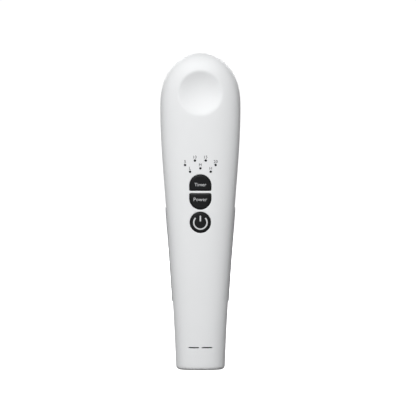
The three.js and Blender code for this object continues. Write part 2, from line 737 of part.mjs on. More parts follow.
// Circuit board and what it carries.
const electronics = new THREE.Group();
electronics.position.y = BOARD.backY + GAP;
device.add(electronics);
piece(device, "control_board", controlBoard(), BOARD_GREEN);
const boardScrew = screwSolid(BOARD_SCREW);
BOARD_SCREWS.forEach(({ x, z }, i) =>
  piece(electronics, `board_screw_${i + 1}`, boardScrew, STEEL, x, 0, z),
);
piece(device, "buzzer", buzzer(), PART_BLACK, 0, 0, SOUND_SLOT.z);
const drum = turnedY(
  [
    [0, 0],
    [COIL.flange, 0],
    [COIL.flange, COIL.rim],
    [COIL.core, COIL.rim],
    [COIL.core, COIL.height - COIL.rim],
    [COIL.flange, COIL.height - COIL.rim],
    [COIL.flange, COIL.height],
    [0, COIL.height],
  ],
  24,
);
const wound = COIL.rim + COIL.clearance;
const winding = ringY(COIL.core + COIL.clearance, COIL.winding, wound, COIL.height - wound, 24);
const chip = ({ half, height, halfLength = half }) => box(-half, half, 0, height, -halfLength, halfLength);
piece(electronics, "drive_coil_core", drum, PART_BLACK, 0, 0, COIL.z);
piece(electronics, "drive_coil_winding", winding, COPPER, 0, 0, COIL.z);
piece(electronics, "heat_sink", heatSink(), ALUMINIUM, 0, 0, HEAT_SINK.z);
piece(electronics, "power_transistor", chip(TRANSISTOR), PART_BLACK, 0, 0, TRANSISTOR.z);
const can = rodY(CAPACITOR.radius, 0, CAPACITOR.height, 0, 0, 24);
piece(electronics, "filter_capacitor", can, PART_BLACK, CAPACITOR.x, 0, CAPACITOR.z);
piece(electronics, "microcontroller", chip(CONTROLLER), PART_BLACK, CONTROLLER.x, 0, CONTROLLER.z);
piece(electronics, "lead_socket", chip(SOCKET), LAMP, 0, 0, SOCKET.z);

// Power inlet in the flat end.
piece(device, "dc_jack_housing", jackHousing(), PART_BLACK);
piece(device, "dc_jack_pin", rodZ(JACK.pin, JACK.tipZ, JACK_TAIL_Z, 0, JACK.y, 12), BRASS);
const strip = centredBox({
  half: CONTACT.half,
  frontY: JACK.y + CONTACT.frontY,
  backY: JACK.y + CONTACT.backY,
  low: JACK.faceZ + CONTACT.startZ,
  high: JACK_TAIL_Z,
});
piece(device, "dc_jack_contact", strip, BRASS);
const inletRoute = (x, y) => [
  [0, y, JACK_TAIL_Z + 2 * GAP],
  [x / 2, y, 23],
  [x, 3, 30],
  [x, BOARD.backY + GAP + 0.1, 32.5],
];
piece(device, "dc_lead_positive", lead(inletRoute(3.4, JACK.y)), RED);
piece(device, "dc_lead_negative", lead(inletRoute(-3.4, JACK.y + 4.1)), PART_BLACK);

// Treatment head, all turned about one axis.
const head = new THREE.Group();
head.position.z = HEAD_Z;
device.add(head);
const crystalFront = CUP.faceY - CUP.face - GAP;
const crystalBack = crystalFront - CRYSTAL.thickness;
piece(head, "treatment_head", treatmentCup(), ALUMINIUM);
piece(head, "head_seal_ring", sealRing(), GRIP_GREY);
piece(head, "head_gasket", ringY(CUP.radius + GAP, BOSS.bore - GAP, ...GASKET_Y), PART_BLACK);
piece(head, "head_retaining_ring", retainingRing(), PART_BLACK);
piece(head, "ground_ring", groundRing(), BRASS);
piece(head, "ultrasound_crystal", rodY(CRYSTAL.radius, crystalBack, crystalFront, 0, 0, 28), CERAMIC);
const holder = ringY(CRYSTAL.radius + GAP, HOLDER.radius, HOLDER.frontY, crystalFront);
piece(head, "crystal_holder", holder, PART_BLACK);
const sensorTurn = THREE.MathUtils.degToRad(SENSOR.turn);
const sensorX = SENSOR.distance * Math.sin(sensorTurn);
const sensorZ = -SENSOR.distance * Math.cos(sensorTurn);
const sensorBack = crystalFront - SENSOR.height;
const sensor = box(-SENSOR.half, SENSOR.half, sensorBack, crystalFront, -SENSOR.half, SENSOR.half);
piece(head, "temperature_sensor", sensor, PART_BLACK, sensorX, 0, sensorZ);

// Leads from the head down to the board's socket.
const socketZ = SOCKET.z + 5 - HEAD_Z;
const crystalRoute = [
  [0, crystalBack - GAP, 0],
  [0, 27, -1],
  [-2, 13, -9],
  [-3, 1.8, -23],
  [-3, 0.5, -34],
  [-3, -0.7, socketZ],
];
const sensorRoute = [
  [sensorX, sensorBack - GAP, sensorZ],
  [sensorX, 28.5, sensorZ],
  [sensorX - 4.5, 21, sensorZ + 4.5],
  [5, 12, -11],
  [3.6, 1.8, -23],
  [3, 0.5, -34],
  [3, -0.7, socketZ],
];
piece(head, "crystal_lead", lead(crystalRoute), RED);
piece(head, "sensor_lead", lead(sensorRoute, 0.6), LAMP);

export default device;
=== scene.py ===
"""A hand-held ultrasound therapy device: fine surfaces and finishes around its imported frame.

Blender works in metres. The shape functions below work in millimetres, and weld() turns them into metres.
+Z runs up the handle, the keys face -Y and the treatment head faces +Y.
"""

import json
import math

import bmesh
import bpy
import numpy as np
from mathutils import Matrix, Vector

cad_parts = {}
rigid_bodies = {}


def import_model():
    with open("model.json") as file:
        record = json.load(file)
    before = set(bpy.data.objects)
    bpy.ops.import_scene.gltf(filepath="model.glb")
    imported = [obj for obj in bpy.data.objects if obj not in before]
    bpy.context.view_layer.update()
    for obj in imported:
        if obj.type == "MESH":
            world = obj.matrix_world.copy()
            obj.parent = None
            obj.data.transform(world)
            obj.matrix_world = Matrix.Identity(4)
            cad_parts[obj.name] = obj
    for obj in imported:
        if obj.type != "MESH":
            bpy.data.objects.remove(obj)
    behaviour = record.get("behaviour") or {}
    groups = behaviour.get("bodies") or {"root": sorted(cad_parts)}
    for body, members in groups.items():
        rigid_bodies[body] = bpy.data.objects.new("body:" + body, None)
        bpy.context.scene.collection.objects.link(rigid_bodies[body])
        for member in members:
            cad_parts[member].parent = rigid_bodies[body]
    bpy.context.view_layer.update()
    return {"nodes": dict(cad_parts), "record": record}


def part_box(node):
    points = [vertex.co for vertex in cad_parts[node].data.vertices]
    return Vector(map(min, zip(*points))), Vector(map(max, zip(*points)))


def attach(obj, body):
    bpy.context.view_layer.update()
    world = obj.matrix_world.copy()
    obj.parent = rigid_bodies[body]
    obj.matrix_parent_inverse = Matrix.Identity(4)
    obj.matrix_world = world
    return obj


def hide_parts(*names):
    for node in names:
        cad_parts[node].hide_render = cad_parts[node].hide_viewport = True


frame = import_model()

MM = 0.001
FRONT, BACK = -1, 1

# The casing's form, in millimetres.
LENGTH = 225.0
WIDEST_Z = 186.3
HALF_WIDTH = 28.5
CAP = LENGTH - WIDEST_Z
CAP_ROUND = 2.45
CAP_FULL = 5
SPLIT_Y = -1.5
FRONT_DEPTH = (13.8, 14.6)
BACK_DEPTH = (15.1, 15.8)
SECTION = 2.4
END_RADIUS = 2.6
WALL = 2.2
GAP = 0.3
# Half width of the handle: height, half width, slope.
HANDLE = np.array([[0, 17.4, 0.03], [46, 19.6, 0.062], [115.5, 24.5, 0.073], [WIDEST_Z, HALF_WIDTH, 0]])
NECK_Z = 165.0  # below it the skin is a grid round the handle, above it a grid round the head's axis
HEAD_Z = 197.0
DISH_RADIUS = 15.5
DISH_DEPTH = 4.0
DISH_LEAN = 0.15  # how much deeper the dish is towards the top
DISH_ROUND = 2.1
DISH_SOFT = 0.75  # how far the dish's rim is rounded
BOSS_RADIUS = 25.4
BOSS_TAPER = 0.1287
BOSS_FOOT = 4.0  # the y at which the boss has its full radius
BOSS_FILLET = 4.0
BOSS_FADE = 0.12  # how fast the boss draws in below BOSS_FADE_Y
BOSS_FADE_Y = 9.0
BOSS_BORE = 21.6
BOSS_MOUTH = 20.2
BOSS_TOP = 25.0
BOSS_LIP = 2.8  # thickness of the lip round the boss's mouth
BOSS_PIVOT = 14.0  # from the head's axis to the point that the rear skin's rays leave from
CUP_RADIUS = 19.8
CUP_FACE = 37.8

# How finely the skins are divided.
COLUMNS = 84
BASE_STEPS = 5
END_STEPS = 6
HANDLE_STEPS = 92
NECK_STEPS = 12
CAP_STEPS = 34


# ------------------------------------------------------------------ mesh helpers


def weld(name, grids):
    """One closed mesh out of grids of points (rows, columns, 3) whose edges meet: each grid becomes quads,
    points in the same place become one, and all faces are turned to point out."""
    points, faces, start = [], [], 0
    for grid in grids:
        rows, columns = grid.shape[:2]
        i = start + np.arange(rows * columns).reshape(rows, columns)
        faces.append(np.stack([i[:-1, :-1], i[1:, :-1], i[1:, 1:], i[:-1, 1:]], -1).reshape(-1, 4))
        points.append(grid.reshape(-1, 3))
        start += rows * columns
    mesh = bpy.data.meshes.new(name)
    mesh.from_pydata((np.concatenate(points) * MM).tolist(), [], np.concatenate(faces).tolist())
    work = bmesh.new()
    work.from_mesh(mesh)
    bmesh.ops.remove_doubles(work, verts=work.verts, dist=2e-6)
    bmesh.ops.recalc_face_normals(work, faces=work.faces)
    work.to_mesh(mesh)
    work.free()
    return mesh


def piece(name, mesh):
    """An object at the origin that shows the mesh."""
    made = bpy.data.objects.new(name, mesh)
    bpy.context.scene.collection.objects.link(made)
    return made


def combine(made, tools, operation):
    """Joins closed meshes to the piece, or cuts them out of it; the tools must not touch each other."""
    for i, mesh in enumerate(tools):
        tool = piece(f"tool_{i}", mesh)
        step = made.modifiers.new("step", "BOOLEAN")
        step.operation = operation
        step.solver = "MANIFOLD"
        step.object = tool
    shape = bpy.data.meshes.new_from_object(made.evaluated_get(bpy.context.evaluated_depsgraph_get()))
    made.modifiers.clear()
    for i in range(len(tools)):
        bpy.data.objects.remove(bpy.data.objects[f"tool_{i}"])
    made.data = shape


def finish_piece(made, body, slot, material, *nodes, crease=33):
    """Smooth shading up to the crease angle, one material, and the piece's place in the frame."""
    made.data.polygons.foreach_set("use_smooth", np.ones(len(made.data.polygons), bool))
    made.data.set_sharp_from_angle(angle=math.radians(crease))
    made.data.materials.clear()
    made.data.materials.append(material)
    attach(made, body)
    if nodes:
        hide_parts(*nodes)
    return made


def middle(node):
    """The centre of a CAD node's box, in millimetres."""
    low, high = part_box(node)
    return (np.array(low) + np.array(high)) / 2 / MM


# ------------------------------------------------------------------- casing form


def handle_half(z):
    """Half width of the handle: a cubic Hermite curve through the stations."""
    i = np.clip(np.searchsorted(HANDLE[:, 0], z, side="right") - 1, 0, len(HANDLE) - 2)
    z0, half0, slope0 = np.moveaxis(HANDLE[i], -1, 0)
    z1, half1, slope1 = np.moveaxis(HANDLE[i + 1], -1, 0)
    t = (z - z0) / (z1 - z0)
    bend = slope0 * t * (1 - t) ** 2 - slope1 * t**2 * (1 - t)
    return half0 + (half1 - half0) * t * t * (3 - 2 * t) + (z1 - z0) * bend


def section(z, inset=0.0):
    """Half width, front depth and back depth at a height, all taken in by inset: the stations' curve with an
    edge round at the flat end, and above the widest height the cap, whose half width follows 1 - u^2.45."""
    z = np.asarray(z, float)
    share = np.clip(z / WIDEST_Z, 0, 1)
    radius = max(END_RADIUS - inset, 0.4)
    left = np.clip(radius - (z - inset), 0, radius)
    edge = radius - np.sqrt(radius**2 - left**2)
    up = np.clip((z - WIDEST_Z) / (CAP - inset), 0, 1)
    full = np.sqrt(1 - up**CAP_FULL)
    cap_half = (HALF_WIDTH - inset) * np.sqrt(1 - up**CAP_ROUND)
    half = np.where(z > WIDEST_Z, cap_half, handle_half(z) - inset - edge)
    depths = [
        (FRONT_DEPTH[0] + (FRONT_DEPTH[1] - FRONT_DEPTH[0]) * share - inset - edge) * full,
        (BACK_DEPTH[0] + (BACK_DEPTH[1] - BACK_DEPTH[0]) * share - inset - edge) * full,
    ]
    return half, depths[0], depths[1]


def depth_at(side, z, inset=0.0):
    half, front, back = section(z, inset)
    return half, (front if side == FRONT else back)


def face_y(side, x, z, inset=0.0):
    """The y of the front or back face over a point: a superellipse of exponent 2.4 in each section."""
    half, depth = depth_at(side, z, inset)
    over = np.clip(1 - (np.abs(x) / np.maximum(half, 1e-6)) ** SECTION, 0, 1)
    return SPLIT_Y + side * depth * over ** (1 / SECTION)


def form(x, y, z, inset):
    """The section's superellipse norm less one: below zero inside the casing."""
    half, front, back = section(z, inset)
    depth = np.where(y < SPLIT_Y, front, back)
    total = (np.abs(x) / np.maximum(half, 1e-3)) ** SECTION
    total = total + (np.abs(y - SPLIT_Y) / np.maximum(depth, 1e-3)) ** SECTION
    return total ** (1 / SECTION) - 1


def form_distance(x, y, z, inset=0.0):
    """The norm over its slope, which is close to a distance near the surface."""
    step = 0.05
    here = form(x, y, z, inset)
    slope = np.sqrt(
        (form(x + step, y, z, inset) - here) ** 2
        + (form(x, y + step, z, inset) - here) ** 2
        + (form(x, y, z - step, inset) - here) ** 2
    )
    return here * step / np.maximum(slope, 1e-6)


def section_arc(side, z, inset, edge):
    """Points round half of a section, from the right to the left, ending edge short of the parting plane."""
    half, depth = depth_at(side, z, inset)
    start = np.arcsin((edge / depth) ** (SECTION / 2))
    turn = start + (math.pi - 2 * start) * np.linspace(0, 1, COLUMNS + 1)
    x = half * np.sign(np.cos(turn)) * np.abs(np.cos(turn)) ** (2 / SECTION)
    y = SPLIT_Y + side * depth * np.sin(turn) ** (2 / SECTION)
    return np.stack(np.broadcast_arrays(x, y, z), -1)


def handle_heights(inset):
    """Heights of the skin's rows from the flat end's edge round up to the neck."""
    radius = max(END_RADIUS - inset, 0.4)
    turn = np.linspace(0, math.pi / 2, END_STEPS + 1)
    above = np.linspace(inset + radius, NECK_Z, HANDLE_STEPS + 1)[1:]
    return np.concatenate([inset + radius * (1 - np.cos(turn)), above])


def with_flat_end(rows, y, inset):
    """The rows, and before them the flat end's: the first row shrunk in steps to the middle of the end."""
    pole = np.array([0, y, inset])
    share = np.linspace(0, 1, BASE_STEPS + 1)[:-1].reshape((-1,) + (1,) * (rows.ndim - 1))
    return np.concatenate([pole + share * (rows[0] - pole), rows])


def handle_skin(side, inset, edge):
    """The skin of one half of the handle, from the flat end to the neck."""
    rows = section_arc(side, handle_heights(inset)[:, None], inset, edge)
    return with_flat_end(rows, SPLIT_Y + side * edge, inset)


def skin_edge(offset, inset):
    """The closed line in which a skin meets the plane offset from the parting plane: up the right side from
    the middle of the flat end, over the top and down the left."""
    side = BACK if offset > 0 else FRONT
    edge = abs(offset)
    top_depth = (BACK_DEPTH if side == BACK else FRONT_DEPTH)[1] - inset
    reach = (CAP - inset) * (1 - (edge / top_depth) ** 2) ** (1 / CAP_FULL)
    turn = np.linspace(0, math.pi / 2, CAP_STEPS + 1)[1:]
    above = np.linspace(NECK_Z, WIDEST_Z, NECK_STEPS + 1)[1:]
    z = np.concatenate([handle_heights(inset), above, WIDEST_Z + reach * np.sin(turn)])
    half, depth = depth_at(side, z, inset)
    x = half * np.clip(1 - (edge / np.maximum(depth, 1e-9)) ** SECTION, 0, 1) ** (1 / SECTION)
    x[-1] = 0
    right = with_flat_end(np.stack(np.broadcast_arrays(x, SPLIT_Y + offset, z), -1), SPLIT_Y + offset, inset)
    return np.concatenate([right, (right * [-1, 1, 1])[-2::-1]])


def patch_ends(side, inset, edge):
    """The closed line round the patch above the neck: over the top from right to left, then back along the
    neck."""
    top = skin_edge(side * edge, inset)
    above = top[top[:, 2] > NECK_Z - 1e-6]
    neck = section_arc(side, np.array([[NECK_Z]]), inset, edge)[0]
    return np.concatenate([above, neck[::-1][1:]])


def spokes(ends):
    """Distance and direction of each end point from the head's axis."""
    reach = np.hypot(ends[:, 0], ends[:, 2] - HEAD_Z)
    turn = np.unwrap(np.arctan2(ends[:, 0], ends[:, 2] - HEAD_Z))
    return reach, turn


def round_axis(radius, turn, y):
    return np.stack(np.broadcast_arrays(radius * np.sin(turn), y, HEAD_Z + radius * np.cos(turn)), -1)


def reach_out(outside, shape):
    """How far each ray goes before it leaves the solid, by halving."""
    near, far = np.zeros(shape), np.full(shape, 60.0)
    for _ in range(36):
        half_way = (near + far) / 2
        out = outside(half_way) > 0
        near, far = np.where(out, near, half_way), np.where(out, half_way, far)
    return near


def dish_fall(radius, up, edge_radius):
    """Depth of the finger dish: D (1 - (r/R)^2.1), deeper towards the top, with its rim rounded by a smooth
    maximum with zero."""
    soft = DISH_SOFT
    fall = DISH_DEPTH * (1 - (radius / edge_radius) ** DISH_ROUND) * (1 + DISH_LEAN * up / edge_radius)
    blend = np.clip(soft - np.abs(fall), 0, None) / soft
    return np.maximum(fall, 0) + blend**2 * soft / 4


def dish_patch(inset, edge, edge_radius):
    """The front skin above the neck: rings round the dish, then rays that lean over to the parting line."""
    ends = patch_ends(FRONT, inset, edge)
    reach, turn = spokes(ends)
    radii = np.concatenate(
        [
            np.linspace(0, edge_radius - 1.4, 22)[:-1],
            np.linspace(edge_radius - 1.4, edge_radius + 1.4, 13),
            [edge_radius + 2.0],
        ]
    )[:, None]
    inner = round_axis(radii, turn, 0.0)
    x, z = inner[..., 0], inner[..., 2]
    inner[..., 1] = face_y(FRONT, x, z, inset) + dish_fall(radii, z - HEAD_Z, edge_radius)
    lean_start = np.arctan2(radii[-1], SPLIT_Y - inner[-1, :, 1])
    lean_end = np.arctan2(reach, SPLIT_Y - ends[:, 1])
    lean = lean_start + (lean_end - lean_start) * np.linspace(0, 1, 27)[1:, None]

    def point(length):
        return round_axis(length * np.sin(lean), turn, SPLIT_Y - length * np.cos(lean))

    length = reach_out(lambda s: form(*np.moveaxis(point(s), -1, 0), inset), lean.shape)
    outer = point(length)
    outer[-1] = ends
    return np.concatenate([inner, outer])


def smooth_min(a, b, soft):
    blend = np.clip(soft - np.abs(a - b), 0, None) / soft
    return np.minimum(a, b) - blend**2 * soft / 4


def boss_patch(inset, edge, rims, pivot, turn_start, union):
    """The rear skin above the neck: rings over the boss's rim, then rays from a pivot inside the wall that
    lean over from the boss's side to the parting line. union is the solid that they leave."""
    ends = patch_ends(BACK, inset, edge)
    reach, turn_end = spokes(ends)
    rings = np.array(rims)[:, None]
    inner = round_axis(rings[..., 0], turn_start, rings[..., 1])
    lean_start = np.arctan2(rims[-1][0] - pivot, rims[-1][1])
    lean_end = np.arctan2(reach - pivot, ends[:, 1])
    share = np.linspace(0, 1, 75)[1:, None]
    lean = lean_start + (lean_end - lean_start) * share
    turn = turn_start + (turn_end - turn_start) * share

    def point(length):
        return round_axis(pivot + length * np.sin(lean), turn, length * np.cos(lean))

    length = reach_out(lambda s: union(*np.moveaxis(point(s), -1, 0)), lean.shape)
    outer = point(length)
    outer[-1] = ends
    return np.concatenate([inner, outer])


def boss_and_body(x, y, z):
    """Outside of the tapered boss and the casing, with a fillet that fades out towards the parting line."""
    cone = np.hypot(x, z - HEAD_Z) - (BOSS_RADIUS - BOSS_TAPER * (y - BOSS_FOOT))
    cone = cone + BOSS_FADE * np.clip(BOSS_FADE_Y - y, 0, None) ** 2
    return smooth_min(cone, form_distance(x, y, z), BOSS_FILLET)


def bore_and_hollow(x, y, z):
    """Outside of the boss's bore and the casing's hollow."""
    bore = np.hypot(x, z - HEAD_Z) - BOSS_BORE
    return smooth_min(bore, form_distance(x, y, z, WALL), 0.4)


# ---------------------------------------------------------------------- outlines


def arc(x, z, radius, start, end, steps=5):
    """Points on a circular arc between two angles in degrees."""
    turn = np.radians(np.linspace(start, end, steps + 1))
    return np.stack([x + radius * np.cos(turn), z + radius * np.sin(turn)], -1)


def joined(arcs, between=24):
    """A closed outline: the arcs in order, with evenly spaced points along the straight stretches."""
    parts = []
    for this, following in zip(arcs, arcs[1:] + arcs[:1]):
        share = np.linspace(0, 1, between + 2)[1:-1, None]
        parts += [this, this[-1] + share * (following[0] - this[-1])]
    parts.append(arcs[0][:1])
    return np.concatenate(parts)


def round_rect(x0, x1, z0, z1, radius):
    """An outline function: the rectangle with round corners, grown by an offset."""

    def outline(offset):
        r = max(radius + offset, 0.05)
        inner = radius - r + offset
        left, right = x0 + radius - inner, x1 - radius + inner
        low, high = z0 + radius - inner, z1 - radius + inner
        corners = [(right, low, -90), (right, high, 0), (left, high, 90), (left, low, 180)]
        return joined([arc(x, z, r, start, start + 90) for x, z, start in corners])

    return outline


def disc(x, z, radius, steps=48):
    return lambda offset: arc(x, z, radius + offset, 0, 360, steps)


KEY_HALF = 7.55
PAIR_Z = 126.8
PAIR_HALF = 12.2
PAIR_SPLIT = 2.25
ARC_Z = PAIR_Z + PAIR_HALF - KEY_HALF
ON_OFF_RADIUS = 7.25
KEY_PROUD = 0.4


def timer_outline(offset):
    """Flat below, half round above."""
    half = KEY_HALF + offset
    low = PAIR_Z + PAIR_SPLIT / 2 - offset
    corner = max(0.7 + offset, 0.1)
    return joined(
        [
            arc(half - corner, low + corner, corner, -90, 0),
            arc(0, ARC_Z, half, 0, 180, 44),
            arc(-half + corner, low + corner, corner, 180, 270),
        ]
    )


def power_outline(offset):
    """The timer key's outline upside down."""
    return timer_outline(offset) * [1, -1] + [0, 2 * PAIR_Z]


def ring(side, outline, rise):
    """The outline laid on the front or back face, at a height above it."""
    x, z = outline.T
    return np.stack([x, face_y(side, x, z) + side * rise, z], -1)


def plate(name, side, outline, rows, crown=10):
    """A closed plate that follows the face: the first row's outline closed in rings over its top, then rows
    of (offset, rise), then the last row's outline closed the same way below."""

    def closed_over(offset, rise):
        edge = outline(offset)
        centre = edge[:-1].mean(0)
        share = np.linspace(0, 1, crown + 1)[:-1, None, None]
        return [ring(side, shrunk, rise) for shrunk in centre + share * (edge - centre)]

    rings = closed_over(*rows[0])
    rings += [ring(side, outline(offset), rise) for offset, rise in rows]
    rings += closed_over(*rows[-1])[::-1]
    return weld(name, [np.stack(rings)])


def opening(name, side, outline, through=WALL + 1.2):
    """A cutter for a hole in a wall, flared at the face so that the hole's edge is rounded."""
    rows = [(0.62, 0.5), (0.36, 0.02), (0.2, -0.05), (0.07, -0.16), (0, -0.34), (0, -through)]
    return plate(name, side, outline, rows, crown=4)


def turned(name, profile, x=0.0, z=HEAD_Z, steps=144):
    """A profile of [radius, y] carried round a line along Y."""
    profile = np.array(profile)[:, None]
    turn = np.linspace(0, 2 * math.pi, steps + 1)
    grid = [x + profile[..., 0] * np.sin(turn), profile[..., 1], z + profile[..., 0] * np.cos(turn)]
    return weld(name, [np.stack(np.broadcast_arrays(*grid), -1)])


def rounded_profile(corners, steps=5):
    """A profile with its corners rounded: (radius, y, rounding) each, as a quadratic curve at each corner."""
    corners = np.array(corners, float)
    points = corners[:, :2]
    t = np.linspace(0, 1, steps + 1)[:, None]
    made = [points[:1]]
    for before, here, after, size in zip(points[:-2], points[1:-1], points[2:], corners[1:-1, 2]):
        start = here + (before - here) / np.linalg.norm(before - here) * size
        end = here + (after - here) / np.linalg.norm(after - here) * size
        made.append((1 - t) ** 2 * start + 2 * t * (1 - t) * here + t**2 * end if size else here[None])
    made.append(points[-1:])
    return np.concatenate(made)


# --------------------------------------------------------------------- materials


def new_material(name, color, roughness, metallic=0.0):
    """A material, its shader and its node tree."""
    material = bpy.data.materials.new(name)
    material.use_nodes = True
    tree = material.node_tree
    shader = tree.nodes["Principled BSDF"]
    shader.inputs["Base Color"].default_value = (*color, 1)
    shader.inputs["Roughness"].default_value = roughness
    shader.inputs["Metallic"].default_value = metallic
    return material, shader, tree


def link(tree, made, output, target):
    tree.links.new(made.outputs[output], target)


def noise(tree, scale, detail=3.0, stretch=(1, 1, 1)):
    """Noise on object coordinates; scale counts features per metre."""
    place = tree.nodes.new("ShaderNodeTexCoord")
    spread = tree.nodes.new("ShaderNodeMapping")
    spread.inputs["Scale"].default_value = stretch
    made = tree.nodes.new("ShaderNodeTexNoise")
    made.inputs["Scale"].default_value = scale
    made.inputs["Detail"].default_value = detail
    link(tree, place, "Object", spread.inputs["Vector"])
    link(tree, spread, "Vector", made.inputs["Vector"])
    return made


def spread_value(tree, source, output, low, high, target, start=0.3, end=0.7):
    """Maps a texture's value onto a range and feeds it to a socket."""
    made = tree.nodes.new("ShaderNodeMapRange")
    made.inputs["From Min"].default_value = start
    made.inputs["From Max"].default_value = end
    made.inputs["To Min"].default_value = low
    made.inputs["To Max"].default_value = high
    link(tree, source, output, made.inputs["Value"])
    link(tree, made, "Result", target)


def tint(tree, source, output, color, other, target):
    """Mixes two colours by a texture's value."""
    made = tree.nodes.new("ShaderNodeMix")
    made.data_type = "RGBA"
    made.inputs["A"].default_value = (*color, 1)
    made.inputs["B"].default_value = (*other, 1)
    link(tree, source, output, made.inputs["Factor"])
    tree.links.new(made.outputs["Result"], target)


def bump(tree, source, output, depth, shader):
    """A bump of that depth in metres from a texture's value."""
    made = tree.nodes.new("ShaderNodeBump")
    made.inputs["Strength"].default_value = 1.0
    made.inputs["Distance"].default_value = depth
    link(tree, source, output, made.inputs["Height"])
    link(tree, made, "Normal", shader.inputs["Normal"])


def moulded(name, color, roughness, grain=2600, depth=2.2e-6, spread=0.05, shift=0.97, specular=0.5):
    """Moulded plastic: a fine spark-eroded grain, patches of different gloss and a faint drift of tone."""
    material, shader, tree = new_material(name, color, roughness)
    shader.inputs["Specular IOR Level"].default_value = specular
    bump(tree, noise(tree, grain, 2.0), "Fac", depth, shader)
    patches = noise(tree, 90)
    spread_value(tree, patches, "Fac", roughness - spread, roughness + spread, shader.inputs["Roughness"])
    tint(tree, noise(tree, 34), "Fac", color, tuple(c * shift for c in color), shader.inputs["Base Color"])
    return material


def turned_metal(name, color, roughness, depth=0.5e-6):
    """Metal turned on a lathe: fine rings about the head's axis, in the bump and in the gloss."""
    material, shader, tree = new_material(name, color, roughness, 1.0)
    shader.inputs["Anisotropic"].default_value = 0.4
    place = tree.nodes.new("ShaderNodeTexCoord")
    spread = tree.nodes.new("ShaderNodeMapping")
    spread.inputs["Location"].default_value = (0, 0, -HEAD_Z * MM)
    spread.inputs["Scale"].default_value = (1, 0, 1)
    radius = tree.nodes.new("ShaderNodeVectorMath")
    radius.operation = "LENGTH"
    rings = tree.nodes.new("ShaderNodeTexNoise")
    rings.noise_dimensions = "1D"
    rings.inputs["Scale"].default_value = 5200
    rings.inputs["Detail"].default_value = 4.0
    link(tree, place, "Object", spread.inputs["Vector"])
    link(tree, spread, "Vector", radius.inputs[0])
    link(tree, radius, "Value", rings.inputs["W"])
    bump(tree, rings, "Fac", depth, shader)
    spread_value(tree, rings, "Fac", roughness * 0.8, roughness * 1.3, shader.inputs["Roughness"])
    tint(tree, noise(tree, 60), "Fac", color, tuple(c * 0.95 for c in color), shader.inputs["Base Color"])
    return material


def worked_metal(name, color, roughness, grain=900):
    """Stamped or plated metal: short scratches and patches of gloss."""
    material, shader, tree = new_material(name, color, roughness, 1.0)
    marks = noise(tree, grain, 4.0, (1, 0.15, 1))
    bump(tree, marks, "Fac", 1e-6, shader)
    spread_value(tree, marks, "Fac", roughness * 0.7, roughness * 1.4, shader.inputs["Roughness"])
    tint(tree, noise(tree, 400), "Fac", color, tuple(c * 0.85 for c in color), shader.inputs["Base Color"])
    return material


def circuit_laminate(name):
    """Solder mask over copper: a grid of traces seen as a lighter green, standing slightly proud."""
    material, shader, tree = new_material(name, (0.03, 0.19, 0.09), 0.35)
    shader.inputs["Coat Weight"].default_value = 0.4
    place = tree.nodes.new("ShaderNodeTexCoord")
    flat = tree.nodes.new("ShaderNodeMapping")
    flat.inputs["Rotation"].default_value = (math.pi / 2, 0, 0)
    traces = tree.nodes.new("ShaderNodeTexBrick")
    traces.inputs["Scale"].default_value = 260
    traces.inputs["Mortar Size"].default_value = 0.06
    traces.inputs["Color1"].default_value = (0.025, 0.16, 0.075, 1)
    traces.inputs["Color2"].default_value = (0.03, 0.18, 0.085, 1)
    traces.inputs["Mortar"].default_value = (0.06, 0.30, 0.14, 1)
    link(tree, place, "Object", flat.inputs["Vector"])
    link(tree, flat, "Vector", traces.inputs["Vector"])
    link(tree, traces, "Color", shader.inputs["Base Color"])
    bump(tree, traces, "Fac", 2e-5, shader)
    return material


def wound_wire(name):
    """Enamelled wire: even turns along the coil's axis."""
    material, shader, tree = new_material(name, (0.72, 0.30, 0.12), 0.3, 0.9)
    place = tree.nodes.new("ShaderNodeTexCoord")
    turns = tree.nodes.new("ShaderNodeTexWave")
    turns.bands_direction = "Y"
    turns.inputs["Scale"].default_value = 520
    turns.inputs["Distortion"].default_value = 0.3
    link(tree, place, "Object", turns.inputs["Vector"])
    bump(tree, turns, "Fac", 1.5e-4, shader)
    tint(tree, turns, "Fac", (0.34, 0.11, 0.04), (0.78, 0.36, 0.16), shader.inputs["Base Color"])
    return material


def fired_ceramic(name):
    """Silvered ceramic: pale, mottled and slightly metallic."""
    material, shader, tree = new_material(name, (0.72, 0.69, 0.60), 0.4, 0.35)
    bump(tree, noise(tree, 1500, 5.0), "Fac", 3e-6, shader)
    tint(tree, noise(tree, 220), "Fac", (0.74, 0.72, 0.66), (0.58, 0.53, 0.42), shader.inputs["Base Color"])
    return material


